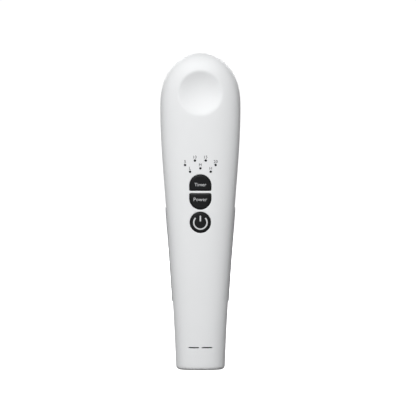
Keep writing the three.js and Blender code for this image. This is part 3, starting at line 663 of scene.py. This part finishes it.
MATERIALS = {
    "casing_white": moulded("satin_white", (0.86, 0.87, 0.878), 0.52, specular=0.32),
    "key_black": moulded("key_black", (0.007, 0.0073, 0.008), 0.46, 3400, 2.5e-6, 0.05, 0.8, 0.22),
    "grip_grey": moulded("soft_grip", (0.30, 0.31, 0.325), 0.66, 3000, 9e-6, 0.06, 0.9, 0.35),
    "seal_grey": moulded("soft_seal", (0.17, 0.175, 0.185), 0.6, 3000, 6e-6, 0.06, 0.9, 0.35),
    "gasket_black": moulded("gasket_black", (0.02, 0.02, 0.021), 0.6, 2400, 5e-6),
    "smoked_clear": moulded("smoked_clear", (0.018, 0.019, 0.021), 0.16, 1500, 4e-7, 0.03, 0.9),
    "head_aluminium": turned_metal("turned_aluminium", (0.83, 0.84, 0.85), 0.2),
    "screw_steel": worked_metal("plated_steel", (0.56, 0.57, 0.58), 0.3),
    "label_silver": moulded("label_film", (0.60, 0.61, 0.62), 0.36, 1800, 1e-6, 0.04, 0.96),
    "print_white": moulded("white_print", (0.66, 0.67, 0.68), 0.5, 5000, 2e-6, 0.05, 0.94),
    "print_grey": moulded("grey_print", (0.012, 0.0125, 0.014), 0.5, 5000, 2e-6, 0.05, 0.9),
    "board_green": circuit_laminate("board_green"),
    "part_black": moulded("part_black", (0.022, 0.022, 0.024), 0.5, 2000, 5e-6, 0.06, 0.8),
    "resin_white": moulded("resin_white", (0.76, 0.73, 0.64), 0.45, 1600, 3e-6, 0.05, 0.94),
    "contact_brass": worked_metal("contact_brass", (0.80, 0.60, 0.28), 0.28),
    "copper": wound_wire("wound_copper"),
    "crystal_ceramic": fired_ceramic("fired_ceramic"),
    "lead_red": moulded("lead_red", (0.50, 0.03, 0.02), 0.4, 1800, 3e-6, 0.05, 0.85),
}


def dress(made, body, slot, *nodes, crease=33):
    return finish_piece(made, body, slot, MATERIALS[slot], *nodes, crease=crease)


# ------------------------------------------------------------------------ camera

AIM_X = 5.4
AIM_Z = 114.8
CAMERA_DISTANCE = 2500.0
CAMERA_RISE = math.radians(3)
FRAME_WIDTH = 296.1  # width of the view at the device
SENSOR = 36


def add_camera():
    camera = bpy.data.objects.new("camera", bpy.data.cameras.new("camera"))
    bpy.context.scene.collection.objects.link(camera)
    camera.data.sensor_width = SENSOR
    camera.data.lens = SENSOR * CAMERA_DISTANCE / FRAME_WIDTH
    camera.data.clip_start = 0.01
    back, up = CAMERA_DISTANCE * math.cos(CAMERA_RISE), CAMERA_DISTANCE * math.sin(CAMERA_RISE)
    camera.location = (AIM_X * MM, (SPLIT_Y - back) * MM, (AIM_Z + up) * MM)
    camera.rotation_euler = (math.pi / 2 - CAMERA_RISE, 0, 0)
    bpy.context.scene.camera = camera


add_camera()

# ------------------------------------------------------------------------ shells

SEAM = GAP / 2
SEAM_ROUND = 0.25
LIP_REACH = 1.3  # how far the front shell's tongue reaches past the parting plane
LIP_ROOM = 1.6  # how deep the rear shell's step for it is
ON_OFF_Z = middle("on_off_key")[2]
KEYS = {"timer": timer_outline, "power": power_outline, "on_off": disc(0, ON_OFF_Z, ON_OFF_RADIUS, 72)}
LIGHTS = [name for name in frame["nodes"] if name.startswith("light_pipe_")]
LIGHT_RADIUS = 0.8
LIGHT_HOLE = 0.86
SLOT_Z = middle("buzzer")[2]
SLOT_HALF = 3.7
SLOT_OFFSET = 4.7
SLOT_RADIUS = 0.45
CASE_SCREWS = [f"case_screw_{i}" for i in range(1, 5)]
LABEL_CORNER = 1.6
LABEL_LOW, LABEL_HIGH = [np.array(corner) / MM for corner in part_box("rating_label")]


def front_cover():
    """Front shell: outer and inner skins joined by an edge with a tongue, then its openings."""
    edges = [
        (-(SEAM + SEAM_ROUND), 0),
        (-(SEAM + 0.07), 0.08),
        (-SEAM, SEAM_ROUND),
        (-SEAM, 1.15),
        (LIP_REACH, 1.15),
        (LIP_REACH, WALL),
        (-SEAM, WALL),
    ]
    grids = [
        handle_skin(FRONT, 0, SEAM + SEAM_ROUND),
        dish_patch(0, SEAM + SEAM_ROUND, DISH_RADIUS),
        np.stack([skin_edge(offset, inset) for offset, inset in edges]),
        handle_skin(FRONT, WALL, SEAM),
        dish_patch(WALL, SEAM, DISH_RADIUS + 1.5),
    ]
    made = piece("front_cover", weld("front_cover", grids))
    cutters = []
    for name, outline in KEYS.items():
        cutters.append(opening(f"{name}_window", FRONT, lambda offset, shape=outline: shape(GAP + offset)))
    for name in LIGHTS:
        x, _, z = middle(name)
        rows = [(0.2, 0.2), (0.1, -0.02), (0.03, -0.08), (0, -0.2), (0, -4)]
        cutters.append(plate(f"{name}_hole", FRONT, disc(x, z, LIGHT_HOLE, 32), rows, 3))
    for side in (-1, 1):
        low, high = side * SLOT_OFFSET - SLOT_HALF, side * SLOT_OFFSET + SLOT_HALF
        outline = round_rect(low, high, SLOT_Z - SLOT_RADIUS, SLOT_Z + SLOT_RADIUS, 0.44)
        rows = [(0.3, 0.3), (0.14, -0.02), (0.04, -0.09), (0, -0.22), (0, -4)]
        cutters.append(plate("sound_slot", FRONT, outline, rows, 3))
    combine(made, cutters, "DIFFERENCE")
    return dress(made, "casing", "casing_white", "front_shell")


SCREW_SEAT_Y = 5.0
POST_STANDOFF = 1.8
POST_RADIUS = 3.4
WELL_RADIUS = 2.7
SHANK_HOLE = 1.5
# The jack's pocket: half width, depth range and height range.
POCKET_HALF = 6.2
POCKET_Y = (0.6, 11.2)
POCKET_Z = (1.2, 8.0)
PLUG_HOLE = 4.2
JACK_ROOM = (4.9, 4.7)
JACK_ROOM_Z = (3.4, 12.0)
GRIP_CORNER = 3.4
GRIP_RISE = 0.5
GRIP_SUNK = 0.85
GRIP_BED = 0.9
GRIP_RIBS = 11
GRIP_EDGE = 0.5  # how far the pad's edge is rounded
RIB_DEPTH = 0.5
RIB_HALF = 0.85
# How far the ribs stay off the pad's front and back edges, and the length in which they fade in.
RIB_FRONT = (2.2, 2.2)
RIB_BACK = (0.7, 0.8)
GRIP_LOW, GRIP_HIGH = [np.array(corner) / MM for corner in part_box("grip_right")]


def grip_form(name, side, grow, rise, bed, ribs):
    """A closed pad on the handle's side: a rounded rectangle in height and depth, lifted off the skin by rise
    and sunk below it by bed. The lift falls off in a quarter round at the edge, and ribs cut shallow
    troughs."""
    low_z, high_z = GRIP_LOW[2] - grow, GRIP_HIGH[2] + grow
    low_y, high_y = GRIP_LOW[1] - grow, GRIP_HIGH[1] + grow
    corner = GRIP_CORNER + grow
    near = np.array([0, 0.06, 0.16, 0.3, 0.5])
    inside = np.linspace(0.9, high_z - low_z - 0.9, 230)
    z = low_z + np.concatenate([near, inside, (high_z - low_z) - near[::-1]])
    over = np.clip(corner - np.minimum(z - low_z, high_z - z), 0, corner)
    pull = corner - np.sqrt(corner**2 - over**2)
    across = np.concatenate([near, np.linspace(0.9, high_y - low_y - 0.9, 16), (high_y - low_y) - near[::-1]])
    share = across / (high_y - low_y)
    y = (low_y + pull)[:, None] + share * (high_y - low_y - 2 * pull)[:, None]
    from_front, from_back = y - (low_y + pull)[:, None], (high_y - pull)[:, None] - y
    border = np.minimum(np.minimum(z - low_z, high_z - z)[:, None], np.minimum(from_front, from_back))
    gone = np.clip(GRIP_EDGE - border, 0, GRIP_EDGE)
    lift = rise - (GRIP_EDGE - np.sqrt(GRIP_EDGE**2 - gone**2))
    if ribs:
        pitch = (GRIP_HIGH[2] - GRIP_LOW[2]) / (ribs + 1)
        phase = (z - GRIP_LOW[2]) / pitch
        away = np.abs(phase - np.clip(np.round(phase), 1, ribs)) * pitch
        trough = RIB_DEPTH * np.clip(1 - (away / RIB_HALF) ** 2, 0, None) ** 1.5
        front_fade = np.clip((from_front - RIB_FRONT[0]) / RIB_FRONT[1], 0, 1)
        back_fade = np.clip((from_back - RIB_BACK[0]) / RIB_BACK[1], 0, 1)
        lift = lift - trough[:, None] * front_fade * back_fade
    half, _, back = section(z[:, None])

    def skin(height):
        share_y = (y - SPLIT_Y) / back
        x = half * (1 - np.abs(share_y) ** SECTION) ** (1 / SECTION)
        slope = np.sign(share_y) * np.abs(share_y) ** (SECTION - 1) / back
        across_x = (x / half) ** (SECTION - 1) / half
        size = np.hypot(slope, across_x)
        out_x, out_y = x + height * across_x / size, y + height * slope / size
        return np.stack([side * out_x, out_y, z[:, None] + 0 * y], -1)

    top, bottom = skin(lift), skin(-bed + 0 * y)
    rim = np.concatenate([np.stack([top[i], bottom[i]])[None] for i in (0, -1)])
    sides = np.concatenate([np.stack([top[:, i], bottom[:, i]])[None] for i in (0, -1)])
    return weld(name, [top, bottom, *rim, *sides])


def rear_cover():
    """Rear shell: skins, the boss that carries the treatment head, screw wells, the jack's pocket, the grips'
    beds and the label's recess."""
    ends = spokes(patch_ends(BACK, 0, SEAM + SEAM_ROUND))[1]
    rims = [
        (BOSS_MOUTH, BOSS_TOP - BOSS_LIP),
        (BOSS_MOUTH, BOSS_TOP - 0.5),
        (BOSS_MOUTH + 0.1, BOSS_TOP - 0.16),
        (BOSS_MOUTH + 0.4, BOSS_TOP),
        (21.2, BOSS_TOP),
        (22.0, BOSS_TOP),
        (22.42, BOSS_TOP - 0.13),
        (22.7, BOSS_TOP - 0.42),
        (22.8, BOSS_TOP - 0.8),
    ]
    hollow_rims = [
        (BOSS_MOUTH, BOSS_TOP - BOSS_LIP),
        (BOSS_BORE - 0.4, BOSS_TOP - BOSS_LIP),
        (BOSS_BORE, BOSS_TOP - BOSS_LIP - 0.4),
    ]
    edges = [
        (SEAM + SEAM_ROUND, 0),
        (SEAM + 0.07, 0.08),
        (SEAM, SEAM_ROUND),
        (SEAM, 0.85),
        (LIP_ROOM, 0.85),
        (LIP_ROOM, WALL),
    ]
    grids = [
        handle_skin(BACK, 0, SEAM + SEAM_ROUND),
        boss_patch(0, SEAM + SEAM_ROUND, rims, BOSS_PIVOT, ends, boss_and_body),
        np.stack([skin_edge(offset, inset) for offset, inset in edges]),
        handle_skin(BACK, WALL, LIP_ROOM),
        boss_patch(WALL, LIP_ROOM, hollow_rims, BOSS_PIVOT, ends, bore_and_hollow),
    ]
    made = piece("rear_cover", weld("rear_cover", grids))
    posts, cutters = [], []
    for name in CASE_SCREWS:
        x, _, z = middle(name)
        floor = float(face_y(BACK, x, z)) - (SPLIT_Y + POST_STANDOFF)
        posts.append(plate(f"{name}_post", BACK, disc(x, z, POST_RADIUS), [(0, -1.1), (0, -floor)], 3))
        seat = float(face_y(BACK, x, z)) - SCREW_SEAT_Y
        rows = [(3.5, 2), (3.02, -0.05), (2.82, -0.16), (WELL_RADIUS, -0.4), (WELL_RADIUS, -seat)]
        rows += [(SHANK_HOLE, -seat), (SHANK_HOLE, -floor - 2)]
        cutters.append(plate(f"{name}_well", BACK, disc(x, z, 0), rows, 3))
    pocket = round_rect(-POCKET_HALF, POCKET_HALF, *POCKET_Z, 0.6)(0)
    block = [np.stack([pocket[:, 0], np.full(len(pocket), y), pocket[:, 1]], -1) for y in POCKET_Y]
    centre = [np.broadcast_to(level.mean(0), level.shape) for level in block]
    posts.append(weld("jack_pocket", [np.stack([centre[0], block[0], block[1], centre[1]])]))
    combine(made, posts, "UNION")
    jack_x, jack_y, _ = middle("dc_jack_housing")
    turn = np.linspace(0, 2 * math.pi, 65)
    hole = [(0, -2), (4.8, -2), (4.5, -0.05), (4.3, 0.12), (PLUG_HOLE, 0.4), (PLUG_HOLE, 5), (0, 5)]
    radius, height = np.array(hole).T[..., None]
    rings = np.broadcast_arrays(jack_x + radius * np.cos(turn), jack_y + radius * np.sin(turn), height)
    cutters.append(weld("plug_hole", [np.stack(rings, -1)]))
    room_x, room_y = [[at - half, at + half] for at, half in zip((jack_x, jack_y), JACK_ROOM)]
    cutters.append(block_mesh("jack_room", room_x, room_y, JACK_ROOM_Z))
    label = round_rect(LABEL_LOW[0], LABEL_HIGH[0], LABEL_LOW[2], LABEL_HIGH[2], LABEL_CORNER)
    rows = [(0.75, 0.6), (0.42, -0.03), (0.34, -0.14), (GAP - 0.05, -0.3), (GAP - 0.05, -0.65)]
    cutters.append(plate("label_recess", BACK, label, rows, 12))
    for side in (-1, 1):
        cutters.append(grip_form("grip_bed", side, GAP, 3.0, GRIP_BED + GAP, 0))
    for cutter in cutters:
        combine(made, [cutter], "DIFFERENCE")
    return dress(made, "casing", "casing_white", "rear_shell")


def block_mesh(name, x, y, z):
    """A box as four walls and two ends of one grid."""
    x0, x1 = x
    y0, y1 = y
    loop = np.array([[x0, y0], [x1, y0], [x1, y1], [x0, y1], [x0, y0]])
    rings = [np.column_stack([loop, np.full(5, height)]) for height in z]
    ends = [np.broadcast_to(r[:4].mean(0), r.shape) for r in rings]
    return weld(name, [np.stack([ends[0], rings[0], rings[1], ends[1]])])


front_cover()
rear_cover()

# ------------------------------------------------------------------------- grips

for side, node in ((-1, "grip_left"), (1, "grip_right")):
    pad = piece(f"side_{node}", grip_form(node, side, 0, GRIP_RISE, GRIP_SUNK, GRIP_RIBS))
    dress(pad, "casing", "grip_grey", node)

# -------------------------------------------------------------------------- keys

STEM_RADIUS = 2.0


def key_mesh(name, outline, z):
    """A push key: a cap that follows the face with a soft edge, straight sides, a retaining flange, a hollow
    underside and a stem."""
    edge = outline(0)
    centre = np.array([0, z])

    def round_stem(radius):
        away = edge - centre
        return centre + radius * away / np.linalg.norm(away, axis=1)[:, None]

    rows = [(-1.3, 0.42), (-0.8, 0.4), (-0.5, 0.35), (-0.25, 0.24), (-0.08, 0.08), (0, -0.15), (0, -3.3)]
    rows += [(0.7, -3.3), (0.7, -4.3), (-1.4, -4.3), (-1.4, -1.2)]
    top = outline(rows[0][0])
    share = np.linspace(0, 1, 14)[:-1, None, None]
    rings = [ring(FRONT, shrunk, rows[0][1]) for shrunk in centre + share * (top - centre)]
    rings += [ring(FRONT, outline(offset), rise) for offset, rise in rows]
    rings.append(ring(FRONT, round_stem(STEM_RADIUS), rows[-1][1]))
    tip = round_stem(STEM_RADIUS)
    tip_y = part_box(f"{name}_key")[1][1] / MM
    rings.append(np.stack([tip[:, 0], np.full(len(tip), tip_y), tip[:, 1]], -1))
    rings.append(np.broadcast_to([0, tip_y, z], rings[-1].shape))
    return weld(f"{name}_button", [np.stack(rings)])


KEY_Z = {"timer": PAIR_Z + PAIR_HALF / 2, "power": PAIR_Z - PAIR_HALF / 2, "on_off": ON_OFF_Z}
for name, outline in KEYS.items():
    button = piece(f"{name}_button", key_mesh(name, outline, KEY_Z[name]))
    dress(button, f"{name}_key", "key_black", f"{name}_key")

# ------------------------------------------------------------------------ lights

for name in LIGHTS:
    x, _, z = middle(name)
    rows = [(-0.45, 0.07), (-0.2, 0.05), (-0.05, 0.0), (0, -0.08), (0, -9.0)]
    mesh = plate(name, FRONT, disc(x, z, LIGHT_RADIUS, 32), rows, 4)
    lens = piece(name.replace("light_pipe", "lens"), mesh)
    dress(lens, "casing", "smoked_clear", name)

# ------------------------------------------------------------------------- label

LABEL_RISE = -0.06
PRINT_RISE = 0.07


def rating_plate():
    outline = round_rect(LABEL_LOW[0], LABEL_HIGH[0], LABEL_LOW[2], LABEL_HIGH[2], LABEL_CORNER)
    rows = [(-0.12, LABEL_RISE), (-0.04, LABEL_RISE - 0.03), (0, LABEL_RISE - 0.1), (0, LABEL_RISE - 0.3)]
    made = piece("rating_plate", plate("rating_plate", BACK, outline, rows, 14))
    return dress(made, "casing", "label_silver", "rating_label")


def print_bar(name, x0, x1, z0, z1, side=BACK, rise=LABEL_RISE, body="casing", slot="print_grey"):
    """A printed bar that follows the face."""
    radius = 0.45 * min(x1 - x0, z1 - z0)
    rows = [(0, rise + PRINT_RISE), (0, rise - PRINT_RISE)]
    made = piece(name, plate(name, side, round_rect(x0, x1, z0, z1, radius), rows, 3))
    return dress(made, body, slot)


rating_plate()
RULE = 0.11  # half the width of a printed rule
RULE_MARGIN = 1.8
RULE_END = 2.2  # from the label's ends to the outermost rules
RULES = 8
COLUMN_SHARE = 0.36  # the middle column's place between the outer ones
rule_left, rule_right = LABEL_LOW[0] + RULE_MARGIN, LABEL_HIGH[0] - RULE_MARGIN
rule_heights = np.linspace(LABEL_LOW[2] + RULE_END, LABEL_HIGH[2] - RULE_END, RULES)
for i, height in enumerate(rule_heights):
    print_bar(f"label_rule_{i + 1}", rule_left, rule_right, height - RULE, height + RULE)
middle_column = rule_left + COLUMN_SHARE * (rule_right - rule_left)
for i, x in enumerate((rule_left + RULE, middle_column, rule_right - RULE)):
    print_bar(f"label_column_{i + 1}", x - RULE, x + RULE, rule_heights[0] - RULE, rule_heights[-1] + RULE)

# ---------------------------------------------------------------- treatment head

aluminium_profile = [
    (0, CUP_FACE, 0),
    (18.6, CUP_FACE, 0.7),
    (CUP_RADIUS, CUP_FACE - 1.3, 0.9),
    (CUP_RADIUS, 20.2, 0.1),
    (21.2, 20.2, 0.15),
    (21.2, 18.5, 0.15),
    (18.3, 18.5, 0.15),
    (18.3, 36.2, 0.4),
    (0, 36.2, 0),
]
cup = piece("radiating_cup", turned("radiating_cup", rounded_profile(aluminium_profile)))
dress(cup, "casing", "head_aluminium", "treatment_head")
seal_profile = [
    (20.1, 26.4, 0),
    (20.1, 25.3, 0.1),
    (22.5, 25.3, 0.25),
    (22.5, 26.6, 0.9),
    (21.0, 27.3, 0.5),
    (20.1, 27.3, 0.2),
    (20.1, 26.4, 0),
]
seal = piece("seal_lip", turned("seal_lip", rounded_profile(seal_profile)))
dress(seal, "casing", "seal_grey", "head_seal_ring")

# ------------------------------------------------------------------------ screws


HEAD_HEIGHT = 1.8
HEAD_RADIUS = 2.3
SHANK_RADIUS = 1.15
RECESS = (1.35, 0.26)  # half length and half width of an arm of the cross


def screw_head(name):
    """A pan-head screw: a domed head over a shank, with a cross recess cut with tapering arms."""
    x, _, z = middle(name)
    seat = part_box(name)[1][1] / MM - HEAD_HEIGHT
    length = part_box(name)[0][1] / MM - seat
    head = [(0, HEAD_HEIGHT, 0), (1.3, HEAD_HEIGHT, 0.5), (HEAD_RADIUS, 1.2, 0.6), (HEAD_RADIUS, 0, 0.15)]
    head += [(SHANK_RADIUS, 0, 0), (SHANK_RADIUS, length + 1, 0), (0, length, 0)]
    profile = rounded_profile(head) + [0, seat]
    made = piece(f"fixing_{name[-1]}", turned(name, profile, x, z, 48))
    arms = []
    for across, along in (RECESS, RECESS[::-1]):
        top = np.array([[-1, -1], [1, -1], [1, 1], [-1, 1], [-1, -1]]) * [across, along]
        rings = [(0, 1.0), (0.7, 1.0), (1.05, 2.4), (0, 2.4)]
        grid = [np.stack([x + s * top[:, 0], np.full(5, seat + y), z + s * top[:, 1]], -1) for s, y in rings]
        arms.append(weld("recess", [np.stack(grid)]))
    for arm in arms:
        combine(made, [arm], "DIFFERENCE")
    return dress(made, "casing", "screw_steel", name)


for name in CASE_SCREWS:
    screw_head(name)

# ---------------------------------------------------------------------- printing


PRINT = 0.03  # half the thickness of the print


def lettering(name, text, size, x, z, body, slot, rise, spacing=1.06):
    """Raised print: letters laid on the front face about a centre, each point lifted off the face below."""
    words = bpy.data.objects.new("words", bpy.data.curves.new("words", "FONT"))
    words.data.body = text
    words.data.size = size
    words.data.align_x = "CENTER"
    words.data.align_y = "CENTER"
    words.data.extrude = PRINT
    words.data.resolution_u = 6
    words.data.space_character = spacing
    bpy.context.scene.collection.objects.link(words)
    mesh = bpy.data.meshes.new_from_object(words.evaluated_get(bpy.context.evaluated_depsgraph_get()))
    bpy.data.objects.remove(words)
    flat = np.zeros(len(mesh.vertices) * 3, np.float32)
    mesh.vertices.foreach_get("co", flat)
    u, v, lift = flat.reshape(-1, 3).astype(float).T
    place_x = x + u - (u.min() + u.max()) / 2
    place_z = z + v - (v.min() + v.max()) / 2
    y = face_y(FRONT, place_x, place_z) - rise - lift
    mesh.vertices.foreach_set("co", (np.stack([place_x, y, place_z], -1) * MM).astype(np.float32).ravel())
    work = bmesh.new()
    work.from_mesh(mesh)
    bmesh.ops.remove_doubles(work, verts=work.verts, dist=1e-6)
    bmesh.ops.recalc_face_normals(work, faces=work.faces)
    work.to_mesh(mesh)
    work.free()
    return dress(piece(name, mesh), body, slot)


CAPTION_RISE = 2.45  # from a light up to the middle of its caption
CAPTION_SIZE = 2.9
CAPTIONS = {
    "light_pipe_timer_5": "5",
    "light_pipe_timer_10": "10",
    "light_pipe_timer_15": "15",
    "light_pipe_timer_20": "20",
    "light_pipe_level_low": "L",
    "light_pipe_level_medium": "M",
    "light_pipe_level_high": "H",
}
for node, caption in CAPTIONS.items():
    x, _, z = middle(node)
    name = node.replace("light_pipe", "caption")
    lettering(name, caption, CAPTION_SIZE, x, z + CAPTION_RISE, "casing", "print_grey", 0.0)

TIMER_Z, TIMER_SIZE = PAIR_Z + 5.35, 3.4
POWER_Z, POWER_SIZE = PAIR_Z - 5.15, 3.5
lettering("caption_timer", "Timer", TIMER_SIZE, 0, TIMER_Z, "timer_key", "print_white", KEY_PROUD, 1.0)
lettering("caption_power", "Power", POWER_SIZE, 0, POWER_Z, "power_key", "print_white", KEY_PROUD)


SYMBOL_RADIUS = 5.2
SYMBOL_STROKE = 0.98
SYMBOL_GAP = 47  # half the ring's opening, in degrees
SYMBOL_BAR = (0.75, 4.85)
BAR_HALF = 0.5


def power_symbol():
    """An open ring and a bar, printed on the on/off key."""
    z0 = ON_OFF_Z
    turn = np.radians(np.linspace(90 + SYMBOL_GAP, 450 - SYMBOL_GAP, 73))
    inner, outer = SYMBOL_RADIUS - SYMBOL_STROKE, SYMBOL_RADIUS
    rows = [(inner, -PRINT), (inner, PRINT), (outer, PRINT), (outer, -PRINT), (inner, -PRINT)]
    lines = []
    for radius, lift in rows:
        x, z = radius * np.cos(turn), z0 + radius * np.sin(turn)
        lines.append(np.stack([x, face_y(FRONT, x, z) - KEY_PROUD - lift, z], -1))
    band = np.stack(lines)
    ends = [np.stack([band[[0, 1], i], band[[3, 2], i]]) for i in (0, -1)]
    made = piece("symbol_ring", weld("symbol_ring", [band, *ends]))
    dress(made, "on_off_key", "print_white")
    low, high = z0 + SYMBOL_BAR[0], z0 + SYMBOL_BAR[1]
    print_bar("symbol_bar", -BAR_HALF, BAR_HALF, low, high, FRONT, KEY_PROUD, "on_off_key", "print_white")


power_symbol()

# ------------------------------------------------------- nodes that stay as built

slots = {row["node"]: row["material_slot"] for row in frame["record"]["subparts"]}
for name, node in frame["nodes"].items():
    if not node.hide_render:
        node.data.materials.clear()
        node.data.materials.append(MATERIALS[slots[name]])

# ------------------------------------------------------------- floor and lighting

AMBIENT = 0.13
BACK_AMBIENT = 0.3
BACKDROP = 1.05
FLOOR_GLOW = 0.93
FLOOR_BOUNCE = (0.28, 0.28, 0.28)
FLOOR_HALF = 30.0
FLOOR_Z = -0.0001  # just below the flat end
MIDDLE_OF_DEVICE = (0, 0, 0.14)
# Each light: its place, width and power.
STUDIO_LIGHTS = {
    "key_light": ((-0.28, -1.50, 1.15), 1.05, 31.0),
    "back_light_right": ((0.55, 1.2, 0.7), 0.8, 9.0),
    "back_light_left": ((-0.55, 1.2, 0.7), 0.8, 9.0),
}


def path_mix(tree, other, seen, out):
    """Shows one shader to the camera and another to the light that travels on."""
    path = tree.nodes.new("ShaderNodeLightPath")
    pick = tree.nodes.new("ShaderNodeMixShader")
    link(tree, path, "Is Camera Ray", pick.inputs["Fac"])
    tree.links.new(other.outputs[0], pick.inputs[1])
    tree.links.new(seen.outputs[0], pick.inputs[2])
    link(tree, pick, "Shader", out.inputs["Surface"])


def add_floor():
    """A pale floor that looks as white as the backdrop, and throws only a little light back up."""
    corners = np.array([[-1, -1], [1, -1], [1, 1], [-1, 1]]) * FLOOR_HALF
    corners = np.column_stack([corners, np.full(4, FLOOR_Z)])
    mesh = bpy.data.meshes.new("floor")
    mesh.from_pydata(corners.tolist(), [], [[0, 1, 2, 3]])
    material, shader, tree = new_material("pale_floor", (0.8, 0.8, 0.8), 0.9)
    shader.inputs["Emission Color"].default_value = (1, 1, 1, 1)
    shader.inputs["Emission Strength"].default_value = FLOOR_GLOW
    shader.inputs["Specular IOR Level"].default_value = 0.0
    dull = tree.nodes.new("ShaderNodeBsdfDiffuse")
    dull.inputs["Color"].default_value = (*FLOOR_BOUNCE, 1)
    path_mix(tree, dull, shader, tree.nodes["Material Output"])
    mesh.materials.append(material)
    piece("floor", mesh)


def add_area(name, place, aim, size, power):
    light = bpy.data.objects.new(name, bpy.data.lights.new(name, "AREA"))
    light.data.shape = "DISK"
    light.data.size = size
    light.data.energy = power
    light.location = place
    direction = np.array(aim) - np.array(place)
    flat = math.hypot(direction[0], direction[1])
    heading = math.atan2(direction[1], direction[0])
    light.rotation_euler = (math.atan2(flat, -direction[2]), 0, heading - math.pi / 2)
    bpy.context.scene.collection.objects.link(light)


def add_world():
    """White behind everything; the light that it gives is dim, and brightest from behind and above."""
    world = bpy.data.worlds.new("studio")
    bpy.context.scene.world = world
    world.use_nodes = True
    tree = world.node_tree
    tree.nodes.clear()
    lit = tree.nodes.new("ShaderNodeBackground")
    lit.inputs["Color"].default_value = (1, 1, 1, 1)
    place = tree.nodes.new("ShaderNodeTexCoord")
    facing = tree.nodes.new("ShaderNodeVectorMath")
    facing.operation = "DOT_PRODUCT"
    facing.inputs[1].default_value = (0, 0.85, 0.53)
    level = tree.nodes.new("ShaderNodeMapRange")
    level.interpolation_type = "SMOOTHSTEP"
    level.inputs["From Min"].default_value = 0.25
    level.inputs["From Max"].default_value = 1.0
    level.inputs["To Min"].default_value = AMBIENT
    level.inputs["To Max"].default_value = BACK_AMBIENT
    link(tree, place, "Generated", facing.inputs[0])
    link(tree, facing, "Value", level.inputs["Value"])
    link(tree, level, "Result", lit.inputs["Strength"])
    seen = tree.nodes.new("ShaderNodeBackground")
    seen.inputs["Color"].default_value = (1, 1, 1, 1)
    seen.inputs["Strength"].default_value = BACKDROP
    path_mix(tree, lit, seen, tree.nodes.new("ShaderNodeOutputWorld"))


add_floor()
add_world()
for name, (place, size, power) in STUDIO_LIGHTS.items():
    add_area(name, place, MIDDLE_OF_DEVICE, size, power)
bpy.context.scene.view_settings.view_transform = "Standard"
